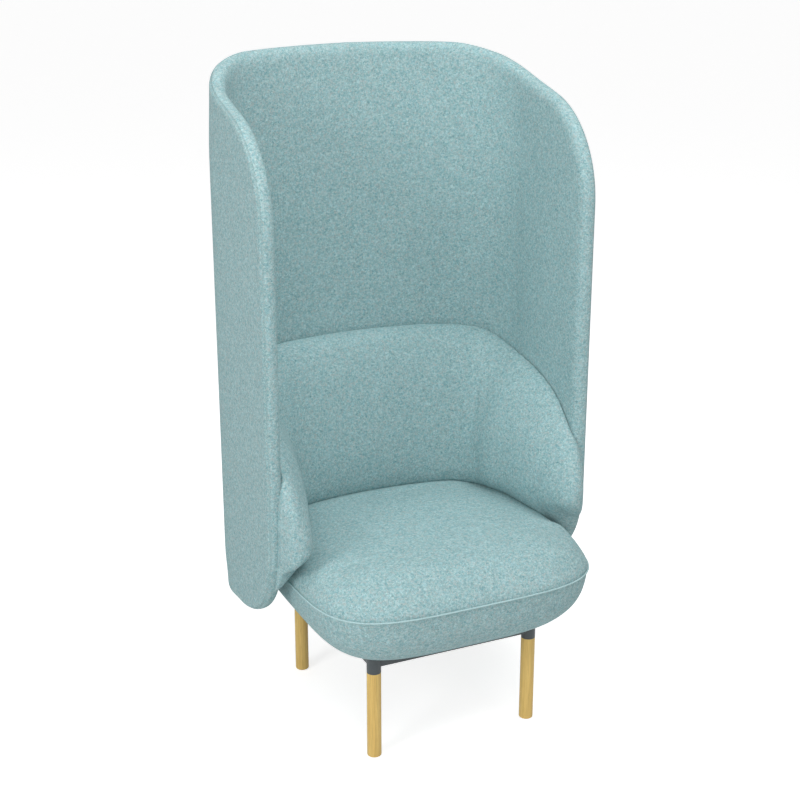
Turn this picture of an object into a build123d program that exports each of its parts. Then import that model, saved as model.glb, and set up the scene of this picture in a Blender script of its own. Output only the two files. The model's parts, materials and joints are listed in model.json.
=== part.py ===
"""Acoustic high back lounge chair: an upholstered seat on four wooden legs, inside a tall upholstered screen.

Millimetres, +Z up. The chair faces -Y, and left and right are as seen by someone facing it, so +X is its right.
The origin is on the floor, midway between the four legs, which is also the middle of the chair's footprint.
"""

import os
from math import asin, cos, degrees, hypot, radians, sin, sqrt

from build123d import *

os.makedirs("parts", exist_ok=True)

# ------------------------------------------------------------------------------------------- driving dimensions

# legs and frame
leg_spacing_x = 361.0
leg_spacing_y = 407.0
leg_diameter = 30.0
socket_bottom_z = 194.0
socket_wall = 2.0
socket_plug_thickness = 10.0
spigot_length = 23.0
spigot_clearance = 0.3
foot_rounding = 2.5
glide_diameter = 22.0
glide_thickness = 3.0
glide_proud = 1.0
rail_size = 20.0
rail_wall = 2.0
frame_top_z = 228.0
weld_gap = 0.2
leg_bolt_diameter = 8.0
leg_bolt_depth = 42.0
leg_bolt_below_top = 1.0
thread_clearance = 0.1

# mounting plates, seat screws and tee nuts
plate_thickness = 6.0
plate_length = 62.0
plate_width = 50.0
plate_y = 115.0
screw_diameter = 6.0
screw_head_diameter = 11.0
screw_head_height = 4.0
screw_tip = 3.0
screw_from_rail = 38.0
tee_flange_diameter = 20.0
tee_flange_thickness = 1.5
tee_barrel_diameter = 8.4
tee_barrel_length = 10.0
hole_clearance = 0.4

# seat
seat_front_y = -335.5
seat_back_gap = 2.0
seat_side_gap = 21.5
seat_bottom_z = 229.0
seat_seam_z = 364.0
seat_crown_height = 74.0
seat_crown_power = 3.8
seat_crown_reach = 300.0
seat_crown_steps = (0.4, 0.65, 0.82, 0.93, 0.985)
seat_corner_radius = 125.0
seat_corner_shrink = 0.25
seat_bulge = 12.0
seat_side_rounding = 143.0
seat_end_rounding = 132.0
seat_base_angles = (20.0, 38.0, 56.0, 73.0, 90.0)
seam_draw_in = 3.0
seam_zone = 14.0
welt_radius = 2.5
board_thickness = 15.0
board_half_width = 190.0
board_front_y = -215.0
board_back_y = 172.0
board_corner_radius = 60.0
cloth_thickness = 1.0
cloth_margin = 6.0
cloth_clearance = 1.5

# screen; the insets of its layers are measured inwards from its outer face
screen_height = 1397.0
screen_half_width = 365.5
screen_back_y = 338.0
screen_front_y = -116.0
screen_bottom_z = 255.0
screen_corner_radius = 168.0
screen_bow_radius = 937.0
screen_top_slope = 17.7
wing_top_radius = 217.0
wing_bottom_radius = 250.0
outer_pad_thickness = 8.0
screen_core_thickness = 12.0
inner_pad_thickness = 14.0
core_edge_margin = 14.0
rim_rounding = 20.0
piping_size = 4.0

# tub: backrest and arms
contact_gap = 0.3
soft_gap = 0.6
tub_wrap = 25.0
# the rolled top of the tub and the bulge of its face, as shares of the tub's thickness there
roll_reach = 0.52
roll_drop = 0.36
roll_crest = (0.29, 0.09)
face_fullness = 0.82
# stations from the middle of the back to its end, which is back_end_angle past the end of the bow: share of the
# angle to that end, height where the back meets the screen, thickness, height of the thickest point and height of
# the lower edge at the screen
back_end_angle = 5.0
back_stations = (
    (0.0, 767.0, 133.0, 435.0, 372.0),
    (0.45, 766.0, 133.0, 435.0, 372.0),
    (1.0, 756.0, 133.0, 435.0, 372.0),
)
# stations along an arm, from the back to the front: Y and then the same four sizes
arm_stations = (
    (262.0, 758.0, 133.0, 435.0, 372.0),
    (188.0, 732.0, 126.0, 435.0, 372.0),
    (105.0, 713.0, 119.0, 435.0, 372.0),
    (43.0, 697.0, 103.0, 436.0, 372.0),
    (-20.0, 671.0, 90.0, 438.0, 372.0),
    (-63.0, 644.0, 79.0, 440.0, 373.0),
    (-103.0, 609.0, 68.0, 443.0, 376.0),
    (-133.0, 566.0, 52.0, 450.0, 390.0),
    (-150.0, 525.0, 28.0, 462.0, 425.0),
)
mitre_from_wing = 126.5
mitre_behind_corner = 6.0
mitre_angle = 35.0
tub_panel_thickness = 10.0
tub_panel_bottom_z = 400.0
tub_panel_top_z = 700.0
tub_panel_shoulder_y = 110.0
tub_panel_front_y = -70.0
tub_panel_front_top_z = 560.0
tub_panel_rounding = 40.0
tub_bolt_angle = 8.0
tub_bolt_heights = (470.0, 640.0)

# brackets that carry the screen
bracket_thickness = 5.0
bracket_width = 60.0
bracket_angle = 6.1
bracket_height = 110.0
bracket_reach = 199.0
bracket_bend_radius = 4.0
bracket_clearance = 0.5
bracket_bolt_heights = (288.0, 318.0)
spacer_diameter = 14.0
nut_across_flats = 10.0
nut_height = 5.0
bracket_screw_depths = (183.0, 219.0)
bracket_screw_diameter = 5.0
bracket_screw_head_diameter = 9.0
bracket_screw_head_height = 3.0
bracket_screw_length = 16.0
curve_clearance = 0.15

# -------------------------------------------------------------------------------------------------- derived sizes

rail_x = leg_spacing_x / 2
rail_y = leg_spacing_y / 2
leg_places = {
    "front_left": (-rail_x, -rail_y),
    "front_right": (rail_x, -rail_y),
    "rear_left": (-rail_x, rail_y),
    "rear_right": (rail_x, rail_y),
}
rail_bottom_z = frame_top_z - rail_size
rail_middle_z = frame_top_z - rail_size / 2
spigot_top_z = socket_bottom_z + spigot_length
spigot_diameter = leg_diameter - 2 * socket_wall - 2 * spigot_clearance
leg_bolt_bottom_z = spigot_top_z - leg_bolt_depth
leg_bolt_hole = leg_bolt_diameter / 2 + thread_clearance
screw_x = rail_x - screw_from_rail
screw_places = [(x * screw_x, y * plate_y) for x in (-1, 1) for y in (-1, 1)]
plate_places = [(x * (rail_x - plate_length / 2), y * plate_y) for x in (-1, 1) for y in (-1, 1)]
board_bottom_z = frame_top_z + plate_thickness
board_top_z = board_bottom_z + board_thickness
bracket_bottom_z = board_bottom_z - bracket_thickness

screen_thickness = outer_pad_thickness + screen_core_thickness + inner_pad_thickness
core_outer = outer_pad_thickness
core_inner = outer_pad_thickness + screen_core_thickness
tub_outer = screen_thickness + contact_gap
panel_inner = tub_outer + tub_panel_thickness
bow_centre_y = screen_back_y - screen_bow_radius
corner_x = screen_half_width - screen_corner_radius
corner_y = bow_centre_y + sqrt((screen_bow_radius - screen_corner_radius) ** 2 - corner_x**2)
bow_angle = degrees(asin(corner_x / (screen_bow_radius - screen_corner_radius)))
inner_face_x = screen_half_width - screen_thickness
inner_face_radius = screen_bow_radius - screen_thickness
seat_half_width = inner_face_x - seat_side_gap
seat_back_y = corner_y + screen_corner_radius - screen_thickness - seat_back_gap
mitre_x = inner_face_x - mitre_from_wing
mitre_y = corner_y + mitre_behind_corner
seat_base_height = seat_seam_z - seat_bottom_z
bracket_back = screen_bow_radius - screen_thickness - bracket_clearance


def finish(part, name):
    """Label a finished piece and write it to its own file."""
    part.label = name
    export_step(part, f"parts/{name}.step")


# ---------------------------------------------------------------------------------------------------- screen plan


def screen_area(inset, front_y=-400.0):
    """Plan area inside the screen's outer face moved inwards by inset, closed by a line at front_y."""
    x = screen_half_width - inset
    corner = screen_corner_radius - inset
    bow = screen_bow_radius - inset
    with BuildSketch() as area:
        with BuildLine():
            Line((x, front_y), (x, corner_y))
            CenterArc((corner_x, corner_y), corner, 0, 90 - bow_angle)
            CenterArc((0, bow_centre_y), bow, 90 - bow_angle, 2 * bow_angle)
            CenterArc((-corner_x, corner_y), corner, 90 + bow_angle, 90 - bow_angle)
            Line((-x, corner_y), (-x, front_y))
            Line((-x, front_y), (x, front_y))
        make_face()
    return area.sketch


def screen_profile(inset=0.0):
    """Side outline of the screen in the YZ plane, drawn in all round by inset; it runs past the back."""
    slope = radians(screen_top_slope)
    front = screen_front_y + inset
    top_radius = wing_top_radius - inset
    bottom_radius = wing_bottom_radius - inset
    bottom = screen_bottom_z + inset
    top_y = screen_front_y + wing_top_radius
    top_z = screen_height - (wing_top_radius + (screen_back_y - top_y) * sin(slope)) / cos(slope)
    bottom_y = screen_front_y + wing_bottom_radius
    bottom_z = screen_bottom_z + wing_bottom_radius
    behind = screen_back_y + 30
    tangent = (top_y - top_radius * sin(slope), top_z + top_radius * cos(slope))
    top_behind = (behind, tangent[1] + (behind - tangent[0]) * sin(slope) / cos(slope))
    with BuildSketch() as profile:
        with BuildLine():
            Line((behind, bottom), (bottom_y, bottom))
            CenterArc((bottom_y, bottom_z), bottom_radius, 270, -90)
            Line((front, bottom_z), (front, top_z))
            CenterArc((top_y, top_z), top_radius, 180, screen_top_slope - 90)
            Line(tangent, top_behind)
            Line(top_behind, (behind, bottom))
        make_face()
    return profile.sketch


def depth_in_screen(point):
    """Distance of a point from the screen's outer face, measured inwards in plan."""
    x, y = abs(point.X), point.Y
    if y <= corner_y:
        return screen_half_width - x
    if x * cos(radians(bow_angle)) <= (y - bow_centre_y) * sin(radians(bow_angle)):
        return screen_bow_radius - hypot(x, y - bow_centre_y)
    return screen_corner_radius - hypot(x - corner_x, y - corner_y)


def is_inner_rim(edge):
    """True for the edges where the screen's inner face meets its rim."""
    middle = edge @ 0.5
    upright = abs((edge % 0.5).Z) > 0.999
    return abs(depth_in_screen(middle) - screen_thickness) < 0.05 and not (upright and middle.Y > screen_front_y + 1)


def bow_plane(angle, height, inset=0.0):
    """Plane on the curved back, at an angle from its middle, looking inwards from the outer face."""
    outwards = Vector(sin(radians(angle)), cos(radians(angle)), 0)
    origin = Vector(0, bow_centre_y, height) + outwards * (screen_bow_radius - inset)
    return Plane(origin=origin, x_dir=(0, 0, 1), z_dir=outwards * -1)


areas = {
    inset: screen_area(inset)
    for inset in (
        -1.0,
        0.0,
        piping_size,
        core_outer - curve_clearance,
        core_outer,
        core_inner,
        core_inner + contact_gap,
        screen_thickness,
        tub_outer,
        panel_inner,
        panel_inner + contact_gap,
    )
}
full_profile = screen_profile()
piping_profile = screen_profile(piping_size)
core_profile = screen_profile(core_edge_margin)
core_pocket_profile = screen_profile(core_edge_margin - contact_gap)
tub_bolt_planes = [bow_plane(a, z) for a in (-tub_bolt_angle, 0, tub_bolt_angle) for z in tub_bolt_heights]
bracket_bolt_planes = [bow_plane(a, z) for a in (-bracket_angle, bracket_angle) for z in bracket_bolt_heights]
bolt_reach = 80.0
across = Plane.YZ.offset(-screen_half_width - 10)
across_width = 2 * screen_half_width + 20

# ---------------------------------------------------------------------------------------------------------- screen

with BuildPart() as screen_core:
    with BuildSketch():
        add(areas[core_outer])
        add(areas[core_inner], mode=Mode.SUBTRACT)
    extrude(amount=screen_height + 100)
    with BuildSketch(across):
        add(core_profile)
    extrude(amount=across_width, mode=Mode.INTERSECT)
    for plane in tub_bolt_planes + bracket_bolt_planes:
        with BuildSketch(plane):
            Circle(screw_diameter / 2 + hole_clearance)
        extrude(amount=bolt_reach, mode=Mode.SUBTRACT)
finish(screen_core.part, "screen_core")

with BuildPart() as screen_outer_pad:
    with BuildSketch():
        add(areas[0.0])
        add(areas[core_outer - curve_clearance], mode=Mode.SUBTRACT)
    extrude(amount=screen_height + 100)
    with BuildSketch(across):
        add(full_profile)
    extrude(amount=across_width, mode=Mode.INTERSECT)
    with BuildPart(mode=Mode.SUBTRACT):
        with BuildSketch():
            add(areas[-1.0])
            add(areas[piping_size], mode=Mode.SUBTRACT)
        extrude(amount=screen_height + 100)
        with BuildSketch(across):
            add(full_profile)
            add(piping_profile, mode=Mode.SUBTRACT)
        extrude(amount=across_width, mode=Mode.INTERSECT)
    for plane in tub_bolt_planes + bracket_bolt_planes:
        with BuildSketch(plane.offset(outer_pad_thickness - screw_head_height - contact_gap)):
            Circle(screw_head_diameter / 2 + hole_clearance)
        extrude(amount=bolt_reach, mode=Mode.SUBTRACT)
finish(screen_outer_pad.part, "screen_outer_pad")

with BuildPart() as screen_inner_pad:
    with BuildSketch():
        add(areas[core_outer])
        add(areas[screen_thickness], mode=Mode.SUBTRACT)
    extrude(amount=screen_height + 100)
    with BuildSketch(across):
        add(full_profile)
    extrude(amount=across_width, mode=Mode.INTERSECT)
    fillet(screen_inner_pad.edges().filter_by(is_inner_rim), radius=rim_rounding)
    with BuildPart(mode=Mode.SUBTRACT):
        with BuildSketch():
            add(areas[core_outer])
            add(areas[core_inner + contact_gap], mode=Mode.SUBTRACT)
        extrude(amount=screen_height + 100)
        with BuildSketch(across):
            add(core_pocket_profile)
        extrude(amount=across_width, mode=Mode.INTERSECT)
    for plane in tub_bolt_planes:
        with BuildSketch(plane):
            Circle(screw_diameter / 2 + hole_clearance)
        extrude(amount=bolt_reach, mode=Mode.SUBTRACT)
    for plane in bracket_bolt_planes:
        with BuildSketch(plane):
            Circle(spacer_diameter / 2 + hole_clearance)
        extrude(amount=bolt_reach, mode=Mode.SUBTRACT)
finish(screen_inner_pad.part, "screen_inner_pad")

with BuildPart() as screen_piping:
    with BuildSketch():
        add(areas[0.0])
        add(areas[piping_size], mode=Mode.SUBTRACT)
    extrude(amount=screen_height + 100)
    with BuildSketch(across):
        add(full_profile)
        add(piping_profile, mode=Mode.SUBTRACT)
    extrude(amount=across_width, mode=Mode.INTERSECT)
finish(screen_piping.part, "screen_piping")

# ----------------------------------------------------------------------------------------------- legs and sockets

for name, place in leg_places.items():
    with BuildPart() as leg:
        with BuildSketch(Plane.XY.offset(glide_proud)):
            with Locations(place):
                Circle(leg_diameter / 2)
        extrude(amount=socket_bottom_z - glide_proud)
        foot = leg.edges().group_by(Axis.Z)[0]
        fillet(foot, radius=foot_rounding)
        with BuildSketch(Plane.XY.offset(socket_bottom_z)):
            with Locations(place):
                Circle(spigot_diameter / 2)
        extrude(amount=spigot_length)
        with BuildSketch(Plane.XY.offset(leg_bolt_bottom_z)):
            with Locations(place):
                Circle(leg_bolt_hole)
        extrude(amount=leg_bolt_depth + 1, mode=Mode.SUBTRACT)
        with BuildSketch(Plane.XY):
            with Locations(place):
                Circle(glide_diameter / 2 + thread_clearance)
        extrude(amount=glide_thickness, mode=Mode.SUBTRACT)
    finish(leg.part, f"leg_{name}")

    with BuildPart() as socket:
        with BuildSketch(Plane.XY.offset(socket_bottom_z)):
            with Locations(place):
                Circle(leg_diameter / 2)
        extrude(amount=frame_top_z - socket_bottom_z)
        with BuildSketch(Plane.XY.offset(socket_bottom_z)):
            with Locations(place):
                Circle(leg_diameter / 2 - socket_wall)
        extrude(amount=frame_top_z - socket_plug_thickness - socket_bottom_z, mode=Mode.SUBTRACT)
        with BuildSketch(Plane.XY.offset(socket_bottom_z)):
            with Locations(place):
                Circle(leg_bolt_hole)
        extrude(amount=frame_top_z - socket_bottom_z, mode=Mode.SUBTRACT)
    finish(socket.part, f"socket_{name}")

with BuildPart() as leg_glides:
    with BuildSketch():
        with Locations(*leg_places.values()):
            Circle(glide_diameter / 2)
    extrude(amount=glide_thickness)
finish(leg_glides.part, "leg_glides")

with BuildPart() as leg_bolts:
    with BuildSketch(Plane.XY.offset(leg_bolt_bottom_z)):
        with Locations(*leg_places.values()):
            Circle(leg_bolt_diameter / 2)
    extrude(amount=frame_top_z - leg_bolt_below_top - leg_bolt_bottom_z)
finish(leg_bolts.part, "leg_bolts")

# ------------------------------------------------------------------------------------------------- rails and plates

for y, name in ((-rail_y, "front_crossbar"), (rail_y, "rear_crossbar")):
    with BuildPart() as crossbar:
        with BuildSketch(Plane.YZ.offset(-rail_x)):
            with Locations((y, rail_middle_z)):
                Rectangle(rail_size, rail_size)
                Rectangle(rail_size - 2 * rail_wall, rail_size - 2 * rail_wall, mode=Mode.SUBTRACT)
        extrude(amount=leg_spacing_x)
        with BuildSketch(Plane.XY.offset(rail_bottom_z)):
            with Locations((-rail_x, y), (rail_x, y)):
                Circle(leg_diameter / 2 + weld_gap)
        extrude(amount=rail_size, mode=Mode.SUBTRACT)
    finish(crossbar.part, name)

side_rail_length = leg_spacing_y - rail_size - 2 * weld_gap
for x, name in ((-rail_x, "side_rail_left"), (rail_x, "side_rail_right")):
    with BuildPart() as side_rail:
        with BuildSketch(Plane.XZ.offset(-side_rail_length / 2)):
            with Locations((x, rail_middle_z)):
                Rectangle(rail_size, rail_size)
                Rectangle(rail_size - 2 * rail_wall, rail_size - 2 * rail_wall, mode=Mode.SUBTRACT)
        extrude(amount=side_rail_length)
        with BuildSketch(Plane.XY.offset(rail_bottom_z)):
            with Locations((x, -rail_y), (x, rail_y)):
                Circle(leg_diameter / 2 + weld_gap)
        extrude(amount=rail_size, mode=Mode.SUBTRACT)
    finish(side_rail.part, name)

with BuildPart() as seat_mount_plates:
    with BuildSketch(Plane.XY.offset(frame_top_z)):
        with Locations(*plate_places):
            Rectangle(plate_length, plate_width)
        with Locations(*screw_places):
            Circle(screw_diameter / 2 + hole_clearance, mode=Mode.SUBTRACT)
    extrude(amount=plate_thickness)
finish(seat_mount_plates.part, "seat_mount_plates")

with BuildPart() as seat_screws:
    with BuildSketch(Plane.XY.offset(frame_top_z - screw_head_height)):
        with Locations(*screw_places):
            Circle(screw_head_diameter / 2)
    extrude(amount=screw_head_height)
    with BuildSketch(Plane.XY.offset(frame_top_z)):
        with Locations(*screw_places):
            Circle(screw_diameter / 2)
    extrude(amount=board_top_z + screw_tip - frame_top_z)
finish(seat_screws.part, "seat_screws")

with BuildPart() as seat_tee_nuts:
    with BuildSketch(Plane.XY.offset(board_top_z)):
        with Locations(*screw_places):
            Circle(tee_flange_diameter / 2)
    extrude(amount=tee_flange_thickness)
    with BuildSketch(Plane.XY.offset(board_top_z - tee_barrel_length)):
        with Locations(*screw_places):
            Circle(tee_barrel_diameter / 2)
    extrude(amount=tee_barrel_length)
    with BuildSketch(Plane.XY.offset(board_top_z - tee_barrel_length)):
        with Locations(*screw_places):
            Circle(screw_diameter / 2 + thread_clearance)
    extrude(amount=tee_barrel_length + tee_flange_thickness, mode=Mode.SUBTRACT)
finish(seat_tee_nuts.part, "seat_tee_nuts")

# ------------------------------------------------------------------------------------------------------------ seat


def seat_outline(height, inset_x, inset_y, corner):
    """Rounded rectangle with bulged sides at a height, drawn in from the seat's welt line."""
    x = seat_half_width - seat_bulge - inset_x
    front = seat_front_y + seat_bulge + inset_y
    back = seat_back_y - seat_bulge - inset_y
    middle = (front + back) / 2
    with BuildSketch(Plane.XY.offset(height)) as outline:
        with BuildLine():
            ThreePointArc((-x, front), (0, front - seat_bulge), (x, front))
            ThreePointArc((x, front), (x + seat_bulge, middle), (x, back))
            ThreePointArc((x, back), (0, back + seat_bulge), (-x, back))
            ThreePointArc((-x, back), (-x - seat_bulge, middle), (-x, front))
        make_face()
        fillet(outline.vertices(), radius=corner)
    return outline.sketch


def seat_crown(grow=0.0):
    """Crowned upper half of the seat, from its seam up, with every section let out by grow."""
    sections = [
        seat_outline(seat_seam_z, seam_draw_in - grow, seam_draw_in - grow, seat_corner_radius),
        seat_outline(seat_seam_z + seam_zone, -grow, -grow, seat_corner_radius),
    ]
    for step in seat_crown_steps:
        inset = seat_crown_reach * (1 - (1 - step**seat_crown_power) ** (1 / seat_crown_power))
        height = seat_seam_z + seat_crown_height * step + grow
        sections.append(
            seat_outline(height, inset - grow, inset - grow, seat_corner_radius - seat_corner_shrink * inset)
        )
    return loft(sections=[section.face() for section in sections])


def seat_bowl():
    """Rounded lower half of the seat, from its flat underside up to the seam."""
    sections = [
        seat_outline(seat_seam_z, seam_draw_in, seam_draw_in, seat_corner_radius),
        seat_outline(seat_seam_z - seam_zone, 0, 0, seat_corner_radius),
    ]
    for angle in seat_base_angles:
        drawn = 1 - cos(radians(angle))
        height = seat_seam_z - seat_base_height * sin(radians(angle))
        corner = seat_corner_radius - seat_corner_shrink * seat_side_rounding * drawn
        sections.append(seat_outline(height, seat_side_rounding * drawn, seat_end_rounding * drawn, corner))
    return loft(sections=[section.face() for section in sections])


def board_outline(height, grow=0.0):
    """Outline of the seat board at a height, let out by grow."""
    depth = board_back_y - board_front_y
    with BuildSketch(Plane.XY.offset(height)) as outline:
        with Locations((0, board_front_y + depth / 2)):
            RectangleRounded(2 * (board_half_width + grow), depth + 2 * grow, board_corner_radius + grow)
    return outline.sketch


def radial_plane(angle):
    """Upright plane through the bow's centre at an angle from straight back; its x runs outwards and its y up."""
    a = radians(angle)
    return Plane(origin=(0, bow_centre_y, 0), x_dir=(sin(a), cos(a), 0), z_dir=(cos(a), -sin(a), 0))


bracket_screw_places = [
    (
        (screen_bow_radius - depth) * sin(radians(angle)),
        bow_centre_y + (screen_bow_radius - depth) * cos(radians(angle)),
    )
    for angle in (-bracket_angle, bracket_angle)
    for depth in bracket_screw_depths
]

with BuildPart() as seat_foam_top:
    add(seat_crown())
finish(seat_foam_top.part, "seat_foam_top")

with BuildPart() as seat_foam_base:
    add(seat_bowl())
    board_pocket = extrude(board_outline(seat_bottom_z - 1, contact_gap), amount=board_top_z - seat_bottom_z + 1)
    add(board_pocket, mode=Mode.SUBTRACT)
    with BuildSketch(Plane.XY.offset(board_top_z)):
        with Locations(*screw_places):
            Circle(tee_flange_diameter / 2 + hole_clearance)
    extrude(amount=tee_flange_thickness + contact_gap, mode=Mode.SUBTRACT)
    with BuildSketch(Plane.XY.offset(board_top_z)):
        with Locations(*screw_places):
            Circle(screw_diameter / 2 + hole_clearance)
    extrude(amount=screw_tip + contact_gap, mode=Mode.SUBTRACT)
    for angle in (-bracket_angle, bracket_angle):
        with BuildSketch(radial_plane(angle)):
            with Locations((bracket_back, board_bottom_z + contact_gap)):
                Rectangle(bracket_reach, 2 * bracket_thickness, align=(Align.MAX, Align.MAX))
        extrude(amount=bracket_width / 2 + contact_gap, both=True, mode=Mode.SUBTRACT)
finish(seat_foam_base.part, "seat_foam_base")

with BuildPart() as seat_welt:
    with BuildSketch(Plane.XY.offset(seat_seam_z - welt_radius)):
        add(seat_outline(0, -welt_radius, -welt_radius, seat_corner_radius + welt_radius))
        add(seat_outline(0, welt_radius, welt_radius, seat_corner_radius - welt_radius), mode=Mode.SUBTRACT)
    extrude(amount=2 * welt_radius)
    long_edges = seat_welt.edges().group_by(Axis.Z)
    fillet(long_edges[0] + long_edges[-1], radius=0.8 * welt_radius)
finish(seat_welt.part, "seat_welt")

with BuildPart() as seat_board:
    with BuildSketch(Plane.XY.offset(board_bottom_z)):
        add(board_outline(0))
        with Locations(*screw_places):
            Circle(tee_barrel_diameter / 2 + thread_clearance, mode=Mode.SUBTRACT)
    extrude(amount=board_thickness)
    with BuildSketch(Plane.XY.offset(board_bottom_z)):
        with Locations(*bracket_screw_places):
            Circle(bracket_screw_diameter / 2 + thread_clearance)
    extrude(amount=bracket_screw_length - bracket_thickness + 1, mode=Mode.SUBTRACT)
finish(seat_board.part, "seat_board")

with BuildPart() as seat_underside_cloth:
    with BuildSketch(Plane.XY.offset(board_bottom_z - cloth_thickness)):
        add(board_outline(0, -cloth_margin))
        with Locations(*plate_places):
            Rectangle(plate_length + 2 * cloth_clearance, plate_width + 2 * cloth_clearance, mode=Mode.SUBTRACT)
    extrude(amount=cloth_thickness)
    for angle in (-bracket_angle, bracket_angle):
        with BuildSketch(radial_plane(angle)):
            with Locations((screen_bow_radius - tub_outer, board_bottom_z)):
                Rectangle(2 * (bracket_reach + cloth_clearance), 2 * bracket_thickness)
        extrude(amount=bracket_width / 2 + cloth_clearance, both=True, mode=Mode.SUBTRACT)
finish(seat_underside_cloth.part, "seat_underside_cloth")

# ----------------------------------------------------------------------------------- brackets that carry the screen

for angle, name in ((-bracket_angle, "screen_bracket_left"), (bracket_angle, "screen_bracket_right")):
    with BuildPart() as bracket:
        with BuildSketch(radial_plane(angle)):
            with BuildLine():
                Polyline(
                    (bracket_back - bracket_reach, bracket_bottom_z),
                    (bracket_back, bracket_bottom_z),
                    (bracket_back, bracket_bottom_z + bracket_height),
                    (bracket_back - bracket_thickness, bracket_bottom_z + bracket_height),
                    (bracket_back - bracket_thickness, board_bottom_z),
                    (bracket_back - bracket_reach, board_bottom_z),
                    close=True,
                )
            make_face()
        extrude(amount=bracket_width / 2, both=True)
        bend = bracket.edges().filter_by(Axis.Z, reverse=True).filter_by(GeomType.LINE)
        inner_bend = bend.filter_by(
            lambda e: abs((e @ 0.5).Z - board_bottom_z) < 0.1
            and abs(hypot((e @ 0.5).X, (e @ 0.5).Y - bow_centre_y) - bracket_back + bracket_thickness) < 0.1
            and abs((e % 0.5).Z) < 0.01
        )
        fillet(inner_bend, radius=bracket_bend_radius)
        for height in bracket_bolt_heights:
            with BuildSketch(bow_plane(angle, height, screen_thickness)):
                Circle(screw_diameter / 2 + hole_clearance)
            extrude(amount=3 * bracket_thickness, mode=Mode.SUBTRACT)
        with BuildSketch(Plane.XY.offset(bracket_bottom_z)):
            with Locations(*bracket_screw_places):
                Circle(bracket_screw_diameter / 2 + hole_clearance)
        extrude(amount=bracket_thickness, mode=Mode.SUBTRACT)
    finish(bracket.part, name)

with BuildPart() as bracket_spacers:
    for angle in (-bracket_angle, bracket_angle):
        for height in bracket_bolt_heights:
            with BuildSketch(bow_plane(angle, height, core_inner + curve_clearance)):
                Circle(spacer_diameter / 2)
                Circle(screw_diameter / 2 + hole_clearance, mode=Mode.SUBTRACT)
            extrude(amount=inner_pad_thickness + bracket_clearance - curve_clearance)
finish(bracket_spacers.part, "bracket_spacers")

bracket_nut_seat = screen_thickness + bracket_clearance + bracket_thickness

with BuildPart() as bracket_bolts:
    for plane in bracket_bolt_planes:
        with BuildSketch(plane.offset(core_outer - curve_clearance - screw_head_height)):
            Circle(screw_head_diameter / 2)
        extrude(amount=screw_head_height)
        with BuildSketch(plane.offset(core_outer - curve_clearance)):
            Circle(screw_diameter / 2)
        extrude(amount=bracket_nut_seat + nut_height + screw_tip - core_outer)
finish(bracket_bolts.part, "bracket_bolts")

with BuildPart() as bracket_nuts:
    for plane in bracket_bolt_planes:
        with BuildSketch(plane.offset(bracket_nut_seat)):
            RegularPolygon(nut_across_flats / 2, 6, major_radius=False)
            Circle(screw_diameter / 2 + thread_clearance, mode=Mode.SUBTRACT)
        extrude(amount=nut_height)
finish(bracket_nuts.part, "bracket_nuts")

with BuildPart() as bracket_screws:
    with BuildSketch(Plane.XY.offset(bracket_bottom_z - bracket_screw_head_height)):
        with Locations(*bracket_screw_places):
            Circle(bracket_screw_head_diameter / 2)
    extrude(amount=bracket_screw_head_height)
    with BuildSketch(Plane.XY.offset(bracket_bottom_z)):
        with Locations(*bracket_screw_places):
            Circle(bracket_screw_diameter / 2)
    extrude(amount=bracket_screw_length)
finish(bracket_screws.part, "bracket_screws")

# ------------------------------------------------------------------------------------------------------------- tub


def tub_section(plane, face, thickness, top, widest, bottom):
    """Section of the tub on an upright plane; it reaches from face inwards by thickness."""
    crest_in, crest_down = roll_crest
    back = face + tub_wrap
    crest = (face - crest_in * thickness, top - crest_down * thickness)
    roll = (face - roll_reach * thickness, top - roll_drop * thickness)
    belly = (face - face_fullness * thickness, (roll[1] + widest) / 2)
    with BuildSketch(plane) as section:
        with BuildLine():
            Line((back, bottom), (back, top))
            ThreePointArc((back, top), crest, roll)
            ThreePointArc(roll, belly, (face - thickness, widest))
            Line((face - thickness, widest), (back, bottom))
        make_face()
    return section.sketch


def tub_panel_outline(grow=0.0):
    """Side outline of the tub's bent panel in the YZ plane, let out by grow."""
    behind = screen_back_y + 30
    with BuildSketch() as outline:
        with BuildLine():
            Polyline(
                (behind, tub_panel_bottom_z - grow),
                (tub_panel_front_y - grow, tub_panel_bottom_z - grow),
                (tub_panel_front_y - grow, tub_panel_front_top_z + grow),
                (tub_panel_shoulder_y - grow, tub_panel_top_z + grow),
                (behind, tub_panel_top_z + grow),
                close=True,
            )
        make_face()
        fillet(outline.vertices().filter_by(lambda v: v.X < behind - 1), radius=tub_panel_rounding)
    return outline.sketch


def mitre_line(gap):
    """Two plan points on the right-hand mitre between arm and back, shifted backwards by gap."""
    along = Vector(cos(radians(mitre_angle)), sin(radians(mitre_angle)), 0)
    across_line = Vector(-sin(radians(mitre_angle)), cos(radians(mitre_angle)), 0)
    start = Vector(mitre_x, mitre_y, 0) - along * 100 + across_line * gap
    end = Vector(mitre_x, mitre_y, 0) + along * 300 + across_line * gap
    return (start.X, start.Y), (end.X, end.Y)


with BuildPart() as tub_panel:
    with BuildSketch():
        add(areas[tub_outer])
        add(areas[panel_inner], mode=Mode.SUBTRACT)
    extrude(amount=screen_height)
    with BuildSketch(across):
        add(tub_panel_outline())
    extrude(amount=across_width, mode=Mode.INTERSECT)
    for plane in tub_bolt_planes:
        with BuildSketch(plane):
            Circle(tee_barrel_diameter / 2 + thread_clearance)
        extrude(amount=bolt_reach, mode=Mode.SUBTRACT)
finish(tub_panel.part, "tub_panel")

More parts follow.
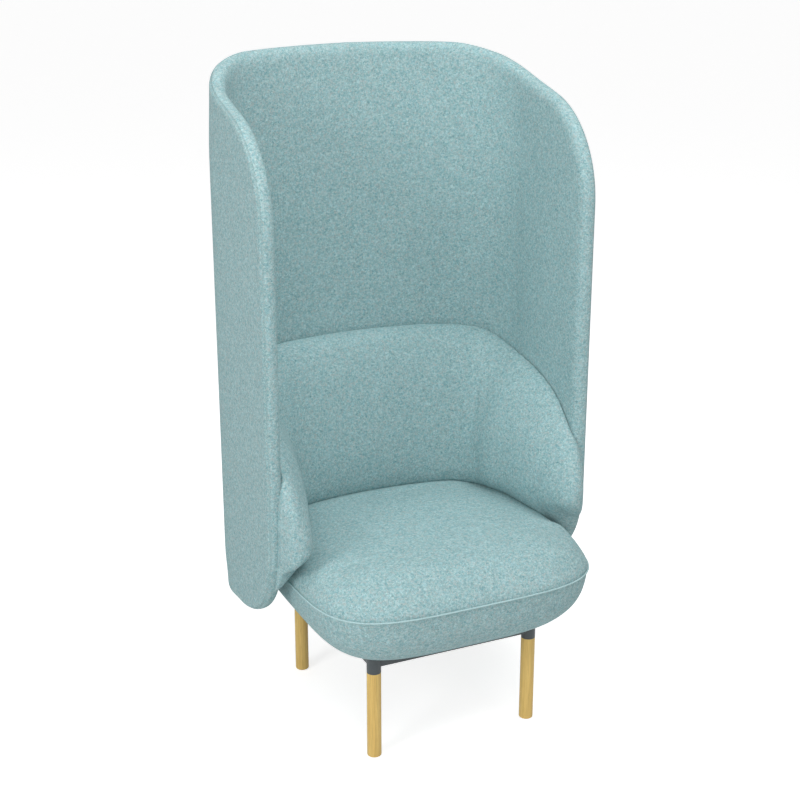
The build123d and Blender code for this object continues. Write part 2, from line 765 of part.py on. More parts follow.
with BuildPart() as tub_bolts:
    for plane in tub_bolt_planes:
        with BuildSketch(plane.offset(core_outer - curve_clearance - screw_head_height)):
            Circle(screw_head_diameter / 2)
        extrude(amount=screw_head_height)
        with BuildSketch(plane.offset(core_outer - curve_clearance)):
            Circle(screw_diameter / 2)
        extrude(amount=panel_inner + screw_tip - core_outer)
finish(tub_bolts.part, "tub_bolts")

with BuildPart() as tub_tee_nuts:
    for plane in tub_bolt_planes:
        with BuildSketch(plane.offset(panel_inner + curve_clearance)):
            Circle(tee_flange_diameter / 2)
        extrude(amount=tee_flange_thickness)
        with BuildSketch(plane.offset(tub_outer)):
            Circle(tee_barrel_diameter / 2)
        extrude(amount=tub_panel_thickness + curve_clearance)
        with BuildSketch(plane.offset(tub_outer)):
            Circle(screw_diameter / 2 + thread_clearance)
        extrude(amount=2 * tub_panel_thickness, mode=Mode.SUBTRACT)
finish(tub_tee_nuts.part, "tub_tee_nuts")

with BuildPart() as panel_pocket:
    with BuildSketch():
        add(screen_area(tub_outer - 1))
        add(areas[panel_inner + contact_gap], mode=Mode.SUBTRACT)
    extrude(amount=screen_height)
    with BuildSketch(across):
        add(tub_panel_outline(contact_gap))
    extrude(amount=across_width, mode=Mode.INTERSECT)

seat_form = seat_crown(soft_gap)

arm_sections = [
    tub_section(Plane.XZ.offset(-y), inner_face_x, thickness, top, widest, bottom)
    for y, top, thickness, widest, bottom in arm_stations
]
with BuildPart() as arm_cushion_right:
    loft(sections=[section.face() for section in arm_sections])
    with BuildSketch():
        add(areas[tub_outer])
    extrude(amount=screen_height, mode=Mode.INTERSECT)
    start, end = mitre_line(0)
    with BuildSketch():
        with BuildLine():
            Polyline(start, end, (end[0], -screen_half_width), (start[0], -screen_half_width), close=True)
        make_face()
    extrude(amount=screen_height, mode=Mode.INTERSECT)
    add(seat_form, mode=Mode.SUBTRACT)
    add(panel_pocket.part, mode=Mode.SUBTRACT)
finish(arm_cushion_right.part, "arm_cushion_right")
finish(arm_cushion_right.part.mirror(Plane.YZ), "arm_cushion_left")

back_end = bow_angle + back_end_angle
back_sections = [
    tub_section(radial_plane(side * share * back_end), inner_face_radius, thickness, top, widest, bottom)
    for side, stations in ((-1, back_stations[:0:-1]), (1, back_stations))
    for share, top, thickness, widest, bottom in stations
]
with BuildPart() as back_cushion:
    loft(sections=[section.face() for section in back_sections])
    with BuildSketch():
        add(areas[tub_outer])
    extrude(amount=screen_height, mode=Mode.INTERSECT)
    start, end = mitre_line(contact_gap)
    with BuildSketch():
        with BuildLine():
            Polyline(
                start,
                end,
                (end[0], 2 * end[1]),
                (-end[0], 2 * end[1]),
                (-end[0], end[1]),
                (-start[0], start[1]),
                close=True,
            )
        make_face()
    extrude(amount=screen_height, mode=Mode.INTERSECT)
    add(seat_form, mode=Mode.SUBTRACT)
    add(panel_pocket.part, mode=Mode.SUBTRACT)
    for plane in tub_bolt_planes:
        with BuildSketch(plane.offset(panel_inner)):
            Circle(tee_flange_diameter / 2 + hole_clearance)
        extrude(amount=tee_flange_thickness + contact_gap, mode=Mode.SUBTRACT)
        with BuildSketch(plane.offset(panel_inner)):
            Circle(screw_diameter / 2 + hole_clearance)
        extrude(amount=screw_tip + contact_gap, mode=Mode.SUBTRACT)
finish(back_cushion.part, "back_cushion")
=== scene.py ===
"""Looks of the acoustic high back lounge chair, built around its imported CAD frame.

Shapes are in millimetres, +Z up, with the chair facing -Y, and are scaled to metres as each mesh is made.
The screen's surfaces are placed by s, the arc length along its outer face from the middle of the back, by
z, and by depth, the distance inwards from that face.
"""

import json
import math

import bmesh
import bpy
import numpy as np
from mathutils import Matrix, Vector
from mathutils.geometry import delaunay_2d_cdt


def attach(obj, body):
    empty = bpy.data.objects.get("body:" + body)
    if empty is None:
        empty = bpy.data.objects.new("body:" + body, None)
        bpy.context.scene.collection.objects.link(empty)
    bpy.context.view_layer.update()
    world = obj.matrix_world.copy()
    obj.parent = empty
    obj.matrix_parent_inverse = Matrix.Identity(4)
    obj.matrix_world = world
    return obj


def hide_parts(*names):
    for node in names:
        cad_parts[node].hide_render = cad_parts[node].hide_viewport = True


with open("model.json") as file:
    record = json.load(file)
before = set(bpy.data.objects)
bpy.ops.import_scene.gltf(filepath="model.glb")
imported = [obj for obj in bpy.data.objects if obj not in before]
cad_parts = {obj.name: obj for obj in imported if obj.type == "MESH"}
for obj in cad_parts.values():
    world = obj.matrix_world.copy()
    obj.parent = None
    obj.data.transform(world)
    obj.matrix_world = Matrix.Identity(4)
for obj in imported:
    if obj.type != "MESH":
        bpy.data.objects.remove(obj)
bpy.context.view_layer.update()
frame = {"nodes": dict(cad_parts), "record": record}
scene = bpy.context.scene
MM = 0.001

# -------------------------------------------------------------------------------------------- sizes

# plan of the screen's outer face: a shallow bow at the back, two round corners and two straight sides
HALF_WIDTH = 365.5
BACK_Y = 338.0
CORNER_R = 168.0
CORNER_X = HALF_WIDTH - CORNER_R
BOW_R = 937.0
BOW_Y = BACK_Y - BOW_R
CORNER_Y = BOW_Y + math.sqrt((BOW_R - CORNER_R) ** 2 - CORNER_X**2)
BOW_ANGLE = math.asin(CORNER_X / (BOW_R - CORNER_R))
BOW_END = BOW_R * BOW_ANGLE
CORNER_END = BOW_END + CORNER_R * (math.pi / 2 - BOW_ANGLE)
SCREEN_DEPTH = 34.0
SCREEN_FRONT_Y = -116.0
SCREEN_BOTTOM_Z = 256.0

# side outline: (s, z) of the top line, the arc (y, z, radius, first angle) that ends it, and the
# superellipse (y, z, reach in y, reach in z) of the lower front corner
TOP_LINE = ((0, 1397), (122, 1395), (243, 1391), (353.5, 1370), (463.7, 1332), (566, 1302.4))
TOP_ARC = (101.0, 1093.6, 217.0, math.radians(16.1))
BOTTOM_ARC = (147.0, 500.0, 263.0, 244.0)
BOTTOM_POWER = 2.55

# the lower edge hangs this much lower at the back, and rises between these two places (y) on the sides
BACK_DROP = 5.0
DROP_ENDS = (95.0, 160.0)
LOW_EDGE_Z = 300.0

# points of the outline, and the line at mid height where the two faces' rings end
TOP_POINTS = 240
ARC_POINTS = 120
FRONT_POINTS = 150
CORNER_POINTS = 160
BOTTOM_POINTS = 200
COLUMNS = 125
RIM_SPOTS = 133
COLUMN_REACH = 560.0
MEDIAL_Z = 760.0
FLAT_INSET = 60.0

# the corners are drawn in at the top and bottom: place, reach along s, and (amount, first z, last z)
LEAN_S = 396.0
LEAN_REACH = 170.0
LEAN_TOP = (6.0, 1190.0, 1370.0)
LEAN_LOW = (4.0, 350.0, 262.0)

# room for the plywood core: depth of its two faces and its distance from the outline
CORE_FRONT = 20.3
CORE_BACK = 7.85
CORE_MARGIN = 13.7

# seat: plan of its seam, a superellipse about (0, SEAT_Y)
SEAT_X = 310.0
SEAT_Y = -56.0
SEAT_FRONT = 279.0
SEAT_REAR = 332.0
SEAT_POWER = 4.08
SEAM_Z = 364.0
SEAT_POINTS = 220

# its crown above the seam, rounder from CROWN_EDGE outwards, and its bowl below the seam
CROWN = 76.0
CROWN_POWER = 3.8
CROWN_EDGE_POWER = 2.2
CROWN_EDGE = 0.88
BOWL_Z = 229.5
BOWL_INSET = 143.0
BOWL_POWER = 2.35
BOARD_Z = 236.0

# where it sinks along the foot of the backrest and arms: depth, the gaps where that is full and nil, and how
# far the backrest's and, by y, the arm's foot reach in from the screen
FURROW = 15.0
FURROW_ENDS = (-12.0, 48.0)
BACK_FOOT = 122.0
ARM_FOOT = ((-168, 50), (-113, 62), (-31, 86), (24, 97), (84, 110), (100, 112))
ARM_FOOT_FADE = 60.0
ARM_FOOT_ENDS = (-180.0, -125.0)
FOOT_CORNER = 55.0


def smoothstep(low, high, value):
    """0 up to low and 1 from high, with a smooth rise between them; low may be above high."""
    t = np.clip((np.asarray(value, float) - low) / (high - low), 0, 1)
    return t * t * (3 - 2 * t)


def smooth_curve(x, table):
    """Monotone cubic through the table's points, at x."""
    px, py = (np.array(c, float) for c in zip(*table))
    x = np.asarray(x, float)
    steps = np.diff(px)
    slopes = np.diff(py) / steps
    before, after = slopes[:-1], slopes[1:]
    total = np.where(before + after == 0, 1, before + after)
    inner = np.where(before * after > 0, 2 * before * after / total, 0)
    tangents = np.concatenate([slopes[:1], inner, slopes[-1:]])
    i = np.clip(np.searchsorted(px, x) - 1, 0, len(steps) - 1)
    t = np.clip((x - px[i]) / steps[i], 0, 1)
    ahead = 3 * t**2 - 2 * t**3
    bulge = (t**3 - 2 * t**2 + t) * tangents[i] + (t**3 - t**2) * tangents[i + 1]
    return (1 - ahead) * py[i] + ahead * py[i + 1] + steps[i] * bulge


# ------------------------------------------------------------------------------------------- meshes


def make_piece(name, points, faces, material):
    """A smooth-shaded piece from points in millimetres."""
    mesh = bpy.data.meshes.new(name)
    bm = bmesh.new()
    verts = [bm.verts.new(p) for p in np.asarray(points, float) * MM]
    for face in faces:
        if len(set(face)) > 2:
            bm.faces.new([verts[i] for i in face])
    bmesh.ops.remove_doubles(bm, verts=bm.verts, dist=2e-6)
    bmesh.ops.dissolve_degenerate(bm, edges=bm.edges, dist=1e-7)
    bmesh.ops.recalc_face_normals(bm, faces=bm.faces)
    for face in bm.faces:
        face.smooth = True
    bm.to_mesh(mesh)
    bm.free()
    mesh.materials.append(material)
    piece = bpy.data.objects.new(name, mesh)
    scene.collection.objects.link(piece)
    return piece


def loop_faces(rings, count, closed_rings=False):
    """Quads between successive rings of count points each."""
    faces = []
    for r in range(rings if closed_rings else rings - 1):
        a, b = r * count, (r + 1) % rings * count
        faces += [(a + i, a + (i + 1) % count, b + (i + 1) % count, b + i) for i in range(count)]
    return faces


def plan_point(s, depth):
    """Plan point at arc length s along the screen's outer face, moved inwards by depth."""
    s, depth = np.broadcast_arrays(np.asarray(s, float), np.asarray(depth, float))
    side, a = np.sign(s), np.abs(s)
    bow = a / BOW_R
    turn = BOW_ANGLE + (a - BOW_END) / CORNER_R
    x = np.where(
        a < BOW_END,
        (BOW_R - depth) * np.sin(bow),
        np.where(a < CORNER_END, CORNER_X + (CORNER_R - depth) * np.sin(turn), HALF_WIDTH - depth),
    )
    y = np.where(
        a < BOW_END,
        BOW_Y + (BOW_R - depth) * np.cos(bow),
        np.where(a < CORNER_END, CORNER_Y + (CORNER_R - depth) * np.cos(turn), CORNER_Y - (a - CORNER_END)),
    )
    return x * side, y


def side_arc(y):
    """Arc length along the screen's outer face at y on its straight side."""
    return CORNER_END + CORNER_Y - y


# ---------------------------------------------------------------------------- outline of the screen


def half_outline():
    """Outline of one half in (s, z), from the top of the back round the front to the bottom of the back."""
    arc_y, arc_z, arc_r, arc_start = TOP_ARC
    end_y, end_z, reach_y, reach_z = BOTTOM_ARC
    top_s = np.linspace(0, side_arc(arc_y - arc_r * math.sin(arc_start)), TOP_POINTS)
    half = list(zip(top_s, smooth_curve(top_s, TOP_LINE)))
    for a in np.linspace(arc_start, math.pi / 2, ARC_POINTS)[1:]:
        half.append((side_arc(arc_y - arc_r * math.sin(a)), arc_z + arc_r * math.cos(a)))
    front_s = side_arc(SCREEN_FRONT_Y)
    half += [(front_s, z) for z in np.linspace(arc_z, end_z, FRONT_POINTS)[1:-1]]
    for a in np.linspace(0, math.pi / 2, CORNER_POINTS):
        across = reach_y * max(math.cos(a), 0) ** (2 / BOTTOM_POWER)
        half.append((side_arc(end_y - across), end_z - reach_z * math.sin(a) ** (2 / BOTTOM_POWER)))
    half += [(s, SCREEN_BOTTOM_Z) for s in np.linspace(half[-1][0], 0, BOTTOM_POINTS)[1:]]
    half = np.array(half)
    forward = smoothstep(side_arc(DROP_ENDS[1]), side_arc(DROP_ENDS[0]), half[:, 0])
    half[:, 1] -= BACK_DROP * (1 - forward) * (half[:, 1] < LOW_EDGE_Z)
    return half


half = half_outline()
turn_point = TOP_POINTS + ARC_POINTS - 1 + (FRONT_POINTS - 2) // 2
upper, lower = half[:turn_point], half[turn_point:]
columns = np.linspace(-COLUMN_REACH, COLUMN_REACH, COLUMNS)
upper_z = np.interp(np.abs(columns), upper[:, 0], upper[:, 1])
lower_z = np.interp(np.abs(columns), lower[::-1, 0], lower[::-1, 1])
front = half[(half[:, 0] > COLUMN_REACH)]
front = np.vstack([[COLUMN_REACH, upper_z[-1]], front, [COLUMN_REACH, lower_z[-1]]])
along = np.concatenate([[0], np.cumsum(np.hypot(*np.diff(front, axis=0).T))])
spots = np.linspace(0, along[-1], RIM_SPOTS + 2)[1:-1]
front = np.column_stack([np.interp(spots, along, front[:, k]) for k in (0, 1)])
top_row = np.column_stack([columns, upper_z])
bottom_row = np.column_stack([columns, lower_z])
outline = np.vstack([top_row, front, bottom_row[::-1], (front * (-1, 1))[::-1]])
tangent = np.roll(outline, -1, 0) - np.roll(outline, 1, 0)
for _ in range(4):
    tangent = (np.roll(tangent, 1, 0) + 2 * tangent + np.roll(tangent, -1, 0)) / 4
tangent /= np.hypot(*tangent.T)[:, None]
inward = np.column_stack([tangent[:, 1], -tangent[:, 0]])
medial_s = np.clip(outline[:, 0], -COLUMN_REACH, COLUMN_REACH)
medial = np.column_stack([medial_s, np.full(len(outline), MEDIAL_Z)])
flat_edge = outline + inward * FLAT_INSET
FIELD = np.linspace(0, 1, 25)


def surface_ring(at, depth, inset):
    """Ring at points (s, z), drawn in at the screen's corners where it is outside the core."""
    s, z = at.T
    near = smoothstep(0, 1, np.clip(1 - np.abs(np.abs(s) - LEAN_S) / LEAN_REACH, 0, 1))
    top_lean, *top_ends = LEAN_TOP
    low_lean, *low_ends = LEAN_LOW
    lean = near * (top_lean * smoothstep(*top_ends, z) + low_lean * smoothstep(*low_ends, z))
    hidden = inset >= CORE_MARGIN and CORE_BACK <= depth <= CORE_FRONT
    x, y = plan_point(s, depth if hidden else depth + lean)
    return np.column_stack([x, y, z])


def rim_ring(inset, depth):
    """Ring at a distance inwards from the outline."""
    return surface_ring(outline + inward * inset, depth, inset)


def field_ring(share, depth):
    """Ring of the flat field, from its edge at share 0 to the line at mid height at share 1."""
    return surface_ring(flat_edge * (1 - share) + medial * share, depth, FLAT_INSET)


def screen_cover(name, section, face_depth, hidden_depth, material):
    """A closed cover: its face, its rim section of (inset, depth) and its hidden side."""
    rings = [field_ring(share, face_depth) for share in FIELD[::-1]]
    rings += [rim_ring(inset, depth) for inset, depth in section]
    rings += [field_ring(share, hidden_depth) for share in FIELD]
    return make_piece(name, np.vstack(rings), loop_faces(len(rings), len(outline)), material)


# ---------------------------------------------------------------------------------------- materials


def srgb(r, g, b):
    """Linear colour with alpha from 8-bit sRGB values."""
    shares = (c / 255 for c in (r, g, b))
    return tuple(c / 12.92 if c < 0.04045 else ((c + 0.055) / 1.055) ** 2.4 for c in shares) + (1.0,)


def grey(level):
    return (level, level, level, 1)


WHITE = grey(1)


class Shader:
    """A new node material with a Principled shader, and short calls for its nodes."""

    def __init__(self, name, **constants):
        self.material = bpy.data.materials.new(name)
        self.material.use_nodes = True
        self.tree = self.material.node_tree
        self.principled = self.tree.nodes["Principled BSDF"]
        for key, value in constants.items():
            self.principled.inputs[key.replace("_", " ")].default_value = value
        self.position = self.node("ShaderNodeTexCoord").outputs["Object"]

    def node(self, kind, **settings):
        """A new node with the given properties."""
        made = self.tree.nodes.new(kind)
        for key, value in settings.items():
            setattr(made, key, value)
        return made

    def link(self, source, target):
        self.tree.links.new(source, target)

    def feed(self, socket, value):
        """Links a socket's value, or sets a constant."""
        if isinstance(value, bpy.types.NodeSocket):
            self.link(value, socket)
        else:
            socket.default_value = value

    def stretched(self, scale, shift=(0, 0, 0), source=None):
        """The object's coordinates, or source, scaled and shifted."""
        made = self.node("ShaderNodeMapping")
        made.inputs["Scale"].default_value = scale
        made.inputs["Location"].default_value = shift
        self.link(source or self.position, made.inputs["Vector"])
        return made.outputs["Vector"]

    def noise(self, scale, detail=2.0, rough=0.5, distortion=0.0, source=None):
        """Noise from 0 to 1, with scale in features per metre."""
        made = self.node("ShaderNodeTexNoise")
        made.inputs["Scale"].default_value = scale
        made.inputs["Detail"].default_value = detail
        made.inputs["Roughness"].default_value = rough
        made.inputs["Distortion"].default_value = distortion
        self.link(source or self.position, made.inputs["Vector"])
        return made.outputs["Fac"]

    def cells(self, scale, source=None):
        """A random value for each cell of a Voronoi pattern."""
        made = self.node("ShaderNodeTexVoronoi")
        made.inputs["Scale"].default_value = scale
        self.link(source or self.position, made.inputs["Vector"])
        split = self.node("ShaderNodeSeparateColor")
        self.link(made.outputs["Color"], split.inputs["Color"])
        return split.outputs["Red"]

    def ramp(self, value, *stops):
        """Colour of a value through stops of (position, colour)."""
        made = self.node("ShaderNodeValToRGB")
        while len(made.color_ramp.elements) < len(stops):
            made.color_ramp.elements.new(0.5)
        for element, (at, colour) in zip(made.color_ramp.elements, stops):
            element.position, element.color = at, colour
        self.link(value, made.inputs["Fac"])
        return made.outputs["Color"]

    def mix(self, share, a, b, how="MIX"):
        """Colour a blended with b by share; each is a socket or a constant."""
        made = self.node("ShaderNodeMix", data_type="RGBA", blend_type=how)
        for socket, value in ((made.inputs[0], share), (made.inputs[6], a), (made.inputs[7], b)):
            self.feed(socket, value)
        return made.outputs[2]

    def calc(self, how, a, b):
        """Result of a Math node on two sockets or constants."""
        made = self.node("ShaderNodeMath", operation=how)
        for socket, value in zip(made.inputs, (a, b)):
            self.feed(socket, value)
        return made.outputs[0]

    def span(self, value, low, high):
        """A value from 0 to 1 carried over to low to high."""
        made = self.node("ShaderNodeMapRange")
        made.inputs["To Min"].default_value = low
        made.inputs["To Max"].default_value = high
        self.link(value, made.inputs["Value"])
        return made.outputs["Result"]

    def finish(self, colour, rough, height, strength, distance):
        """The material, with its colour, its roughness and a bump from height."""
        self.link(colour, self.principled.inputs["Base Color"])
        self.link(rough, self.principled.inputs["Roughness"])
        bump = self.node("ShaderNodeBump")
        bump.inputs["Strength"].default_value = strength
        bump.inputs["Distance"].default_value = distance
        self.link(height, bump.inputs["Height"])
        self.link(bump.outputs["Normal"], self.principled.inputs["Normal"])
        return self.material


def felt(name, tones, fleck=400.0):
    """Melange wool felt: flecks of several tones, fine fibres over them, and a slow unevenness."""
    s = Shader(name, Sheen_Weight=0.05, Sheen_Roughness=0.6, Specular_IOR_Level=0.12)
    sway = s.node("ShaderNodeTexNoise")
    sway.inputs["Scale"].default_value = fleck * 0.6
    s.link(s.position, sway.inputs["Vector"])
    bend = s.node("ShaderNodeVectorMath", operation="MULTIPLY_ADD")
    s.link(sway.outputs["Color"], bend.inputs[0])
    bend.inputs[1].default_value = (0.006, 0.006, 0.006)
    s.link(s.position, bend.inputs[2])
    bent = bend.outputs[0]
    upright = s.cells(fleck, s.stretched((1, 1, 0.55), source=bent))
    level = s.cells(fleck, s.stretched((0.6, 0.6, 1.1), (0.31, 0.17, 0.53), bent))
    small = s.cells(fleck * 1.9, s.stretched((1, 1, 0.8), (0.77, 0.41, 0.29), bent))
    stops = [(i / (len(tones) - 1), srgb(*t)) for i, t in enumerate(tones)]
    colour = s.mix(0.5, s.ramp(upright, *stops), s.ramp(level, *stops))
    colour = s.mix(0.35, colour, s.ramp(small, *stops))
    fibres = s.noise(1500, 3, 0.7, 1.2, s.stretched((1, 1, 0.6)))
    slow = s.noise(14, 3, 0.6)
    shade = s.ramp(fibres, (0.25, grey(0.86)), (0.75, WHITE))
    colour = s.mix(0.5, colour, shade, "MULTIPLY")
    colour = s.mix(1.0, colour, s.ramp(slow, (0.3, grey(0.975)), (0.7, WHITE)), "MULTIPLY")
    rough = s.span(fibres, 0.86, 0.98)
    height = s.calc("MULTIPLY_ADD", upright, 0.5)
    s.link(fibres, height.node.inputs[2])
    return s.finish(colour, rough, height, 0.35, 0.0008)


def wood(name):
    """Light oiled wood with its grain along Z: slow bands, streaks and short dark pores."""
    s = Shader(name, Specular_IOR_Level=0.35, Coat_Weight=0.05, Coat_Roughness=0.4)
    bands = s.noise(60, 2, 0.5, 0.8, s.stretched((1, 1, 0.05)))
    streaks = s.noise(420, 4, 0.6, 0.3, s.stretched((1, 1, 0.035)))
    pores = s.noise(1700, 2, 0.5, 0.0, s.stretched((1, 1, 0.025)))
    tones = (0.3, srgb(222, 185, 106)), (0.55, srgb(233, 200, 122)), (0.75, srgb(227, 192, 112))
    colour = s.ramp(bands, *tones)
    tone = s.ramp(streaks, (0.32, srgb(226, 222, 212)), (0.62, WHITE))
    colour = s.mix(0.8, colour, tone, "MULTIPLY")
    dark = s.ramp(pores, (0.60, WHITE), (0.72, srgb(222, 205, 178)))
    colour = s.mix(0.7, colour, dark, "MULTIPLY")
    rough = s.span(streaks, 0.42, 0.6)
    height = s.calc("ADD", streaks, pores)
    return s.finish(colour, rough, height, 0.25, 0.0004)


def paint(name):
    """Slate powder coat: fine orange peel and slightly uneven gloss."""
    s = Shader(name, Specular_IOR_Level=0.45)
    peel = s.noise(900, 2, 0.5)
    slow = s.noise(45, 2, 0.5)
    colour = s.ramp(slow, (0.3, srgb(60, 67, 70)), (0.7, srgb(68, 75, 78)))
    speck = s.ramp(s.noise(2600, 1, 0.5), (0.35, srgb(235, 235, 235)), (0.6, WHITE))
    colour = s.mix(0.6, colour, speck, "MULTIPLY")
    return s.finish(colour, s.span(slow, 0.4, 0.55), peel, 0.2, 0.0003)


def steel(name):
    """Zinc-plated steel: fine brushing and cloudy reflections."""
    s = Shader(name, Metallic=1.0)
    brushed = s.noise(1300, 3, 0.6, 0.0, s.stretched((1, 1, 0.2)))
    cloud = s.noise(160, 3, 0.6)
    colour = s.ramp(cloud, (0.3, srgb(178, 180, 182)), (0.7, srgb(204, 205, 204)))
    return s.finish(colour, s.span(cloud, 0.28, 0.45), brushed, 0.15, 0.0002)


def plywood(name):
    """Birch plywood: plies seen at its edges, long soft grain on its faces."""
    s = Shader(name, Specular_IOR_Level=0.25)
    grain = s.noise(160, 4, 0.6, 0.5, s.stretched((0.12, 1, 1)))
    wave = s.node("ShaderNodeTexWave", bands_direction="Z")
    wave.inputs["Scale"].default_value = 105
    wave.inputs["Distortion"].default_value = 0.4
    s.link(s.position, wave.inputs["Vector"])
    colour = s.ramp(grain, (0.3, srgb(205, 178, 138)), (0.7, srgb(224, 203, 166)))
    plies = s.ramp(wave.outputs["Fac"], (0.2, srgb(226, 214, 196)), (0.6, WHITE))
    colour = s.mix(0.6, colour, plies, "MULTIPLY")
    return s.finish(colour, s.span(grain, 0.6, 0.8), grain, 0.2, 0.0004)


def lining(name):
    """Dark spun-bonded lining cloth with a small embossed pattern."""
    s = Shader(name, Sheen_Weight=0.1, Specular_IOR_Level=0.2)
    dots = s.node("ShaderNodeTexVoronoi", feature="SMOOTH_F1")
    dots.inputs["Scale"].default_value = 520
    dots.inputs["Randomness"].default_value = 0.15
    s.link(s.position, dots.inputs["Vector"])
    fibres = s.noise(1200, 4, 0.7, 1.0)
    colour = s.ramp(fibres, (0.3, srgb(38, 40, 42)), (0.7, srgb(58, 60, 63)))
    return s.finish(colour, s.span(fibres, 0.8, 0.95), dots.outputs["Distance"], 0.4, 0.0005)


def plastic(name):
    """Grey moulded glide plastic with a fine spark-eroded texture and scuffs."""
    s = Shader(name, Specular_IOR_Level=0.4)
    spark = s.noise(1800, 2, 0.6)
    scuff = s.noise(220, 4, 0.7, 0.6)
    colour = s.ramp(scuff, (0.35, srgb(96, 98, 100)), (0.65, srgb(112, 114, 116)))
    return s.finish(colour, s.span(scuff, 0.45, 0.7), spark, 0.25, 0.0003)


# tones of the melange from dark to light, and the finer fleck of the cords
FELT_TONES = (
    (98, 143, 147), (122, 168, 177), (152, 190, 188), (176, 178, 176), (165, 205, 212), (195, 221, 219),
)
WELT_TONES = ((146, 180, 184), (162, 196, 199), (176, 208, 210), (188, 214, 216), (198, 222, 223))
CORD_FLECK = 700.0
upholstery = felt("wool_felt", FELT_TONES)
welt_felt = felt("welt_felt", WELT_TONES, CORD_FLECK)
edge_felt = felt("edge_felt", FELT_TONES, CORD_FLECK)
lining_cloth = lining("spun_lining")

# ------------------------------------------------------------------------------------------- screen

# the rim is round outside, and inside it is a long superellipse that reaches INNER_REACH back
RIM_R = 12.5
INNER_REACH = 32.0
INNER_POWER = 2.8
PIPING_PLACE = 4.6
PIPING_R = 1.5
CORD_TURNS = np.linspace(0, 2 * math.pi, 11)[:-1]


def outer_turn(*degrees):
    """Points (inset, depth) of the rim's outer rounding, from the outer face to the front."""
    return [(RIM_R * (1 - math.sin(a)), RIM_R * (1 - math.cos(a))) for a in map(math.radians, degrees)]


def inner_turn(*degrees):
    """Points (inset, depth) of the rim's long inner rounding, from the front to the inner face."""
    points = []
    for a in map(math.radians, degrees):
        inset = INNER_REACH * (1 - max(math.cos(a), 0) ** (2 / INNER_POWER))
        depth = RIM_R + (SCREEN_DEPTH - RIM_R) * math.sin(a) ** (2 / INNER_POWER)
        points.append((inset, depth))
    return points


# sections of the two covers as (inset from the outline, depth from the outer face)
OUTER_RIM = [(FLAT_INSET, 0), (45, 0), (30, 0), (20, 0), *outer_turn(0, 10, 20, 30, 40)]
OUTER_RIM += [(6.1, 4.2), (8, 6.2), (14, CORE_BACK), (30, CORE_BACK), (FLAT_INSET, CORE_BACK)]
INNER_RIM = [(FLAT_INSET, SCREEN_DEPTH), *inner_turn(90, 82, 74, 66, 58, 50, 42, 34, 26, 18, 11, 5)]
INNER_RIM += outer_turn(90, 75, 62, 50)
INNER_RIM += [(4.3, 6.1), (6.4, 6.6), (9, 8), (CORE_MARGIN, 8.2), (CORE_MARGIN, 14)]
INNER_RIM += [(CORE_MARGIN, CORE_FRONT), (30, CORE_FRONT), (FLAT_INSET, CORE_FRONT)]

outer_cover = screen_cover("screen_outer_cover", OUTER_RIM, 0.0, CORE_BACK, upholstery)
inner_cover = screen_cover("screen_inner_cover", INNER_RIM, SCREEN_DEPTH, CORE_FRONT, upholstery)
section = [(PIPING_PLACE + PIPING_R * math.cos(a), PIPING_PLACE + PIPING_R * math.sin(a)) for a in CORD_TURNS]
rings = [rim_ring(inset, depth) for inset, depth in section]
faces = loop_faces(len(rings), len(outline), closed_rings=True)
piping = make_piece("screen_edge_piping", np.vstack(rings), faces, edge_felt)

# --------------------------------------------------------------------------------------------- seat


def seat_rho(x, y):
    """0 at the seat's middle and 1 on its seam."""
    reach = np.where(y < SEAT_Y, SEAT_FRONT, SEAT_REAR)
    return (np.abs(x / SEAT_X) ** SEAT_POWER + np.abs((y - SEAT_Y) / reach) ** SEAT_POWER) ** (1 / SEAT_POWER)


def crown_height(rho):
    """Share of the crown's height at rho: steep at the seam, nearly flat on top."""
    inner = 1 - smoothstep(CROWN_EDGE, 1.0, rho)
    power = CROWN_EDGE_POWER + (CROWN_POWER - CROWN_EDGE_POWER) * inner
    return np.clip(1 - np.clip(rho, 0, 1) ** CROWN_POWER, 0, 1) ** (1 / power)


def furrow(x, y):
    """How far the seat sinks towards the foot of the backrest and arms."""
    arm = np.interp(y, *zip(*ARM_FOOT))
    side = HALF_WIDTH - SCREEN_DEPTH - np.abs(x) - arm + ARM_FOOT_FADE * (1 - smoothstep(*ARM_FOOT_ENDS, y))
    back = BOW_R - SCREEN_DEPTH - np.hypot(x, y - BOW_Y) - BACK_FOOT
    a, b = np.maximum(FOOT_CORNER - side, 0), np.maximum(FOOT_CORNER - back, 0)
    gap = FOOT_CORNER - np.hypot(a, b) + np.maximum(np.minimum(side, back) - FOOT_CORNER, 0)
    return FURROW * (1 - smoothstep(*FURROW_ENDS, gap))


def seat_height(x, y, rho):
    """Height of the seat's upper surface at a plan point whose rho is known."""
    return SEAM_Z + (CROWN - furrow(x, y)) * crown_height(rho)


def seat_top(x, y):
    """Height of the seat's upper surface, and a low value outside the seat."""
    rho = seat_rho(x, y)
    return np.where(rho < 1, seat_height(x, y, rho), 0.0)


def seat_loop(scale, inset=0.0, count=SEAT_POINTS):
    """Plan loop of the seat's outline, scaled about its middle and drawn in."""
    angles = np.linspace(0, 2 * math.pi, count + 1)[:-1]
    c, s = np.cos(angles), np.sin(angles)
    x = np.sign(c) * np.abs(c) ** (2 / SEAT_POWER)
    y = np.sign(s) * np.abs(s) ** (2 / SEAT_POWER)
    reach = np.where(y < 0, SEAT_FRONT, SEAT_REAR)
    return x * (SEAT_X * scale - inset), y * (reach * scale - inset) + SEAT_Y


# the edge turned under the seat as (inset from the bowl's lowest ring, height)
TURNED_EDGE = ((6, BOWL_Z), (10, BOWL_Z + 1.2), (12, 233.5), (14, BOARD_Z), (120, BOARD_Z))


